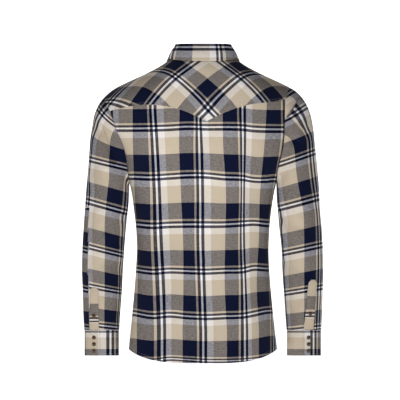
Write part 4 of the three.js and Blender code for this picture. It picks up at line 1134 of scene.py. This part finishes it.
def stitch_line(points, normals, pitch=3.0, long=2.1, thick=0.42):
    """Points and faces of the stitches along a line of points."""
    step = np.linalg.norm(np.diff(points, axis=0), axis=1)
    arc = np.concatenate([[0], np.cumsum(step)])
    count = max(1, int(arc[-1] / pitch))
    starts = (np.arange(count) + 0.15) * pitch
    at = lambda s: np.stack([np.interp(s, arc, points[:, i]) for i in range(3)], 1)
    up = np.stack([np.interp(starts + long / 2, arc, normals[:, i]) for i in range(3)], 1)
    up /= np.linalg.norm(up, axis=1, keepdims=True)
    a, b = at(starts), at(starts + long)
    along = b - a
    along /= np.maximum(1e-9, np.linalg.norm(along, axis=1, keepdims=True))
    side = np.cross(up, along) * thick / 2
    rise = up * thick * 0.55
    sink = -up * thick * 0.4
    inset = along * 0.45
    corners = [
        a + side + sink, a - side + sink, b - side + sink, b + side + sink,
        a + inset + side * 0.6 + rise, a + inset - side * 0.6 + rise,
        b - inset - side * 0.6 + rise, b - inset + side * 0.6 + rise,
    ]
    points = np.stack(corners, 1).reshape(-1, 3)
    box = np.array([(0, 1, 2, 3), (4, 7, 6, 5), (0, 4, 5, 1), (1, 5, 6, 2), (2, 6, 7, 3), (3, 7, 4, 0)])
    faces = (box[None] + 8 * np.arange(count)[:, None, None]).reshape(-1, 4)
    return points, faces


def stitches(name, lines):
    points, faces, start = [], [], 0
    for line in lines:
        p, f = stitch_line(*line)
        points.append(p)
        faces.append(f + start)
        start += len(p)
    return make_mesh(name, np.concatenate(points), np.concatenate(faces), THREAD)


def inset_line(outer, normal, edge, distance):
    """The line on a grid at a distance in from one of its edges."""
    if edge == "last_row":
        outer, normal = outer[::-1], normal[::-1]
    elif edge == "first_column":
        outer, normal = outer.swapaxes(0, 1), normal.swapaxes(0, 1)
    elif edge == "last_column":
        outer, normal = outer.swapaxes(0, 1)[::-1], normal.swapaxes(0, 1)[::-1]
    step = np.linalg.norm(np.diff(outer, axis=0), axis=2)
    arc = np.concatenate([np.zeros((1, outer.shape[1])), np.cumsum(step, axis=0)])
    line, ups = [], []
    for c in range(outer.shape[1]):
        line.append([np.interp(distance, arc[:, c], outer[:, c, i]) for i in range(3)])
        ups.append([np.interp(distance, arc[:, c], normal[:, c, i]) for i in range(3)])
    return np.array(line), np.array(ups)


def stitched(piece, name, lines):
    seam = stitches(name, lines)
    seams_of.setdefault(piece.name, []).append(seam)


seams_of = {}
stitched(back, "stitch_hem_back", [inset_line(back_outer, back_normal, "last_row", 8)])
for side, (grid, outer, normal) in front_pieces.items():
    piece = bpy.data.objects[f"cloth_front_{side}"]
    stitched(piece, f"stitch_hem_front_{side}", [inset_line(outer, normal, "last_row", 8)])
stitched(yoke, "stitch_yoke", [
    inset_line(yoke_outer, yoke_normal, "last_row", 1.8),
    inset_line(yoke_outer, yoke_normal, "last_row", 7.5),
])
stitched(placket_piece, "stitch_placket", [
    inset_line(placket_outer, placket_normal, "first_column", 4.5),
    inset_line(placket_outer, placket_normal, "last_column", 4.5),
])
for side in SIDES:
    piece = bpy.data.objects[f"cloth_cuff_{side}"]
    _, outer, normal = cuffs[side]
    stitched(piece, f"stitch_cuff_{side}", [
        inset_line(outer, normal, "first_row", 5),
        inset_line(outer, normal, "last_row", 5),
        inset_line(outer, normal, "first_column", 4),
    ])
    piece = bpy.data.objects[f"cloth_sleeve_placket_{side}"]
    outer, normal = sleeve_plackets[side]
    stitched(piece, f"stitch_sleeve_placket_{side}", [
        inset_line(outer, normal, "first_row", 2.2),
        inset_line(outer, normal, "first_column", 2.2),
        inset_line(outer, normal, "last_column", 2.2),
    ])
stitched(fall_piece, "stitch_collar", [
    inset_line(fall_outer, fall_normal, "last_row", 5),
    inset_line(fall_outer, fall_normal, "first_column", 5),
    inset_line(fall_outer, fall_normal, "last_column", 5),
])


# Snaps: a dark domed cap in a brass rim

CAP_PROFILE = [(0, 2.5), (1.4, 2.45), (2.6, 2.25), (3.4, 1.9), (3.8, 1.45), (3.8, 0.6)]
RIM_PROFILE = [
    (3.75, 1.2), (3.9, 1.6), (4.3, 1.75), (4.75, 1.5), (5.1, 0.9), (5.2, 0.3), (5.2, 0), (3.6, 0),
]


def turned_shape(profile, centre, normal, sides=28):
    radii, heights = np.array(profile).T
    up = normal / np.linalg.norm(normal)
    side = np.cross(up, [0, 0, 1.0])
    side /= np.linalg.norm(side)
    across = np.cross(up, side)
    angles = np.linspace(0, 2 * math.pi, sides, endpoint=False)
    ring = np.cos(angles)[:, None] * side + np.sin(angles)[:, None] * across
    points = centre + radii[:, None, None] * ring[None] + heights[:, None, None] * up
    index = np.arange(len(profile) * sides).reshape(len(profile), sides)
    a, b = index[:-1], np.roll(index[:-1], -1, axis=1)
    c, d = np.roll(index[1:], -1, axis=1), index[1:]
    faces = np.stack([a.ravel(), d.ravel(), c.ravel(), b.ravel()], 1)
    return points.reshape(-1, 3), faces


def snaps(name, nodes, places):
    for kind, profile, material in (("cap", CAP_PROFILE, CAP), ("rim", RIM_PROFILE, BRASS)):
        points, faces, start = [], [], 0
        for centre, normal in places:
            p, f = turned_shape(profile, centre, normal)
            points.append(p)
            faces.append(f + start)
            start += len(p)
        thing = make_mesh(f"{kind}_{name}", np.concatenate(points), np.concatenate(faces), material)
        if kind == "cap":
            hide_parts(*nodes)


front_heights = np.linspace(-128, -650, 7)
places = []
for z in front_heights:
    column = placket_outer[:, placket_outer.shape[1] // 2]
    line = placket_normal[:, placket_outer.shape[1] // 2]
    centre = np.array([np.interp(-z, -column[:, 2], column[:, i]) for i in range(3)])
    normal = np.array([np.interp(-z, -column[:, 2], line[:, i]) for i in range(3)])
    places.append((centre, normal))
snaps("front", [f"front_snap_{i}" for i in range(1, 8)], places)
for side, info in SIDES.items():
    surface = cuffs[side][0]
    turn = info["snap_deg"] - info["edge_deg"]
    places = []
    for z in np.linspace(-688.5, -721.5, 3):
        tangent = surface(turn + 2, z) - surface(turn - 2, z)
        rise = surface(turn, z + 2) - surface(turn, z - 2)
        places.append((surface(turn, z), np.cross(tangent, rise) * -info["sign"]))
    snaps(f"cuff_{side}", [f"cuff_snap_{side}_{i}" for i in (1, 2, 3)], places)
    outer, normal = sleeve_plackets[side]
    middle = outer.shape[1] // 2
    row = int(0.625 * (outer.shape[0] - 1))
    snaps(f"sleeve_{side}", [f"sleeve_snap_{side}"], [(outer[row, middle], normal[row, middle])])
band = stand_point(1, 6.1, 0.5)
band_rise = stand_point(1, 6.1, 1.0) - stand_point(1, 6.1, 0.0)
snaps("collar", ["collar_snap"], [(band, np.cross([1.0, 0, 0], band_rise))])


# Studio: a pale floor that runs up behind, soft light and a long lens from behind the wearer

PIXEL = 0.00249
PHOTO_SIDE = 400
ORIGIN_PIXEL = (203.2, 61)
SENSOR = 36
DISTANCE = 30.0
FLOOR_Z = -0.86
FLOOR_REACH = 40.0
FLOOR_BEND = 4.0
FLOOR_RISE = 20.0


def studio_sheet():
    """The floor reaches past the camera on every side and rises in a quarter round behind."""
    turn = np.linspace(0, math.pi / 2, 13)
    y = np.concatenate([[FLOOR_REACH], -FLOOR_REACH - FLOOR_BEND * np.sin(turn)])
    y = np.append(y, y[-1])
    z = np.concatenate([[0], FLOOR_BEND * (1 - np.cos(turn)), [FLOOR_RISE]])
    points = [(x, a, b + FLOOR_Z) for a, b in zip(y, z) for x in (-FLOOR_REACH, FLOOR_REACH)]
    faces = [(2 * i, 2 * i + 1, 2 * i + 3, 2 * i + 2) for i in range(len(y) - 1)]
    mesh = bpy.data.meshes.new("floor")
    mesh.from_pydata(points, [], faces)
    mesh.polygons.foreach_set("use_smooth", [True] * len(faces))
    pale = plain_material("floor", (250, 250, 250), 0.9)
    surface = pale.node_tree.nodes["Principled BSDF"]
    surface.inputs["Emission Color"].default_value = (1, 1, 1, 1)
    surface.inputs["Emission Strength"].default_value = 1.0
    mesh.materials.append(pale)
    thing = bpy.data.objects.new("floor", mesh)
    bpy.context.scene.collection.objects.link(thing)


def area_light(name, place, target, size, watts):
    light = bpy.data.lights.new(name, "AREA")
    light.shape = "RECTANGLE"
    light.size, light.size_y = size
    light.energy = watts
    thing = bpy.data.objects.new(name, light)
    thing.location = place
    thing.rotation_mode = "QUATERNION"
    thing.rotation_quaternion = (Vector(target) - Vector(place)).to_track_quat("-Z", "Y")
    thing.visible_camera = False
    bpy.context.scene.collection.objects.link(thing)


studio_sheet()
area_light("key", (0.04, 0.62, -0.3), (0, 0, -0.4), (0.2, 1.5), 2.5)
area_light("fill", (1.6, 3.0, 1.6), (0, 0, -0.35), (0.8, 0.8), 15)
area_light("front", (0.8, -3.0, 1.4), (0, 0, -0.35), (2.0, 2.0), 36)
world = bpy.data.worlds.new("studio")
world.use_nodes = True
world.node_tree.nodes["Background"].inputs["Color"].default_value = (1, 1, 1, 1)
world.node_tree.nodes["Background"].inputs["Strength"].default_value = 0.12
bpy.context.scene.world = world
bpy.context.scene.view_settings.view_transform = "Standard"

camera = bpy.data.cameras.new("camera")
camera.sensor_width = SENSOR
camera.lens = SENSOR * DISTANCE / (PHOTO_SIDE * PIXEL)
camera.clip_end = 100
eye = bpy.data.objects.new("camera", camera)
off_x, off_z = [(place - PHOTO_SIDE / 2) * PIXEL for place in ORIGIN_PIXEL]
eye.location = (off_x, DISTANCE, off_z)
eye.rotation_euler = (math.pi / 2, 0, math.pi)
bpy.context.scene.collection.objects.link(eye)
bpy.context.scene.camera = eye
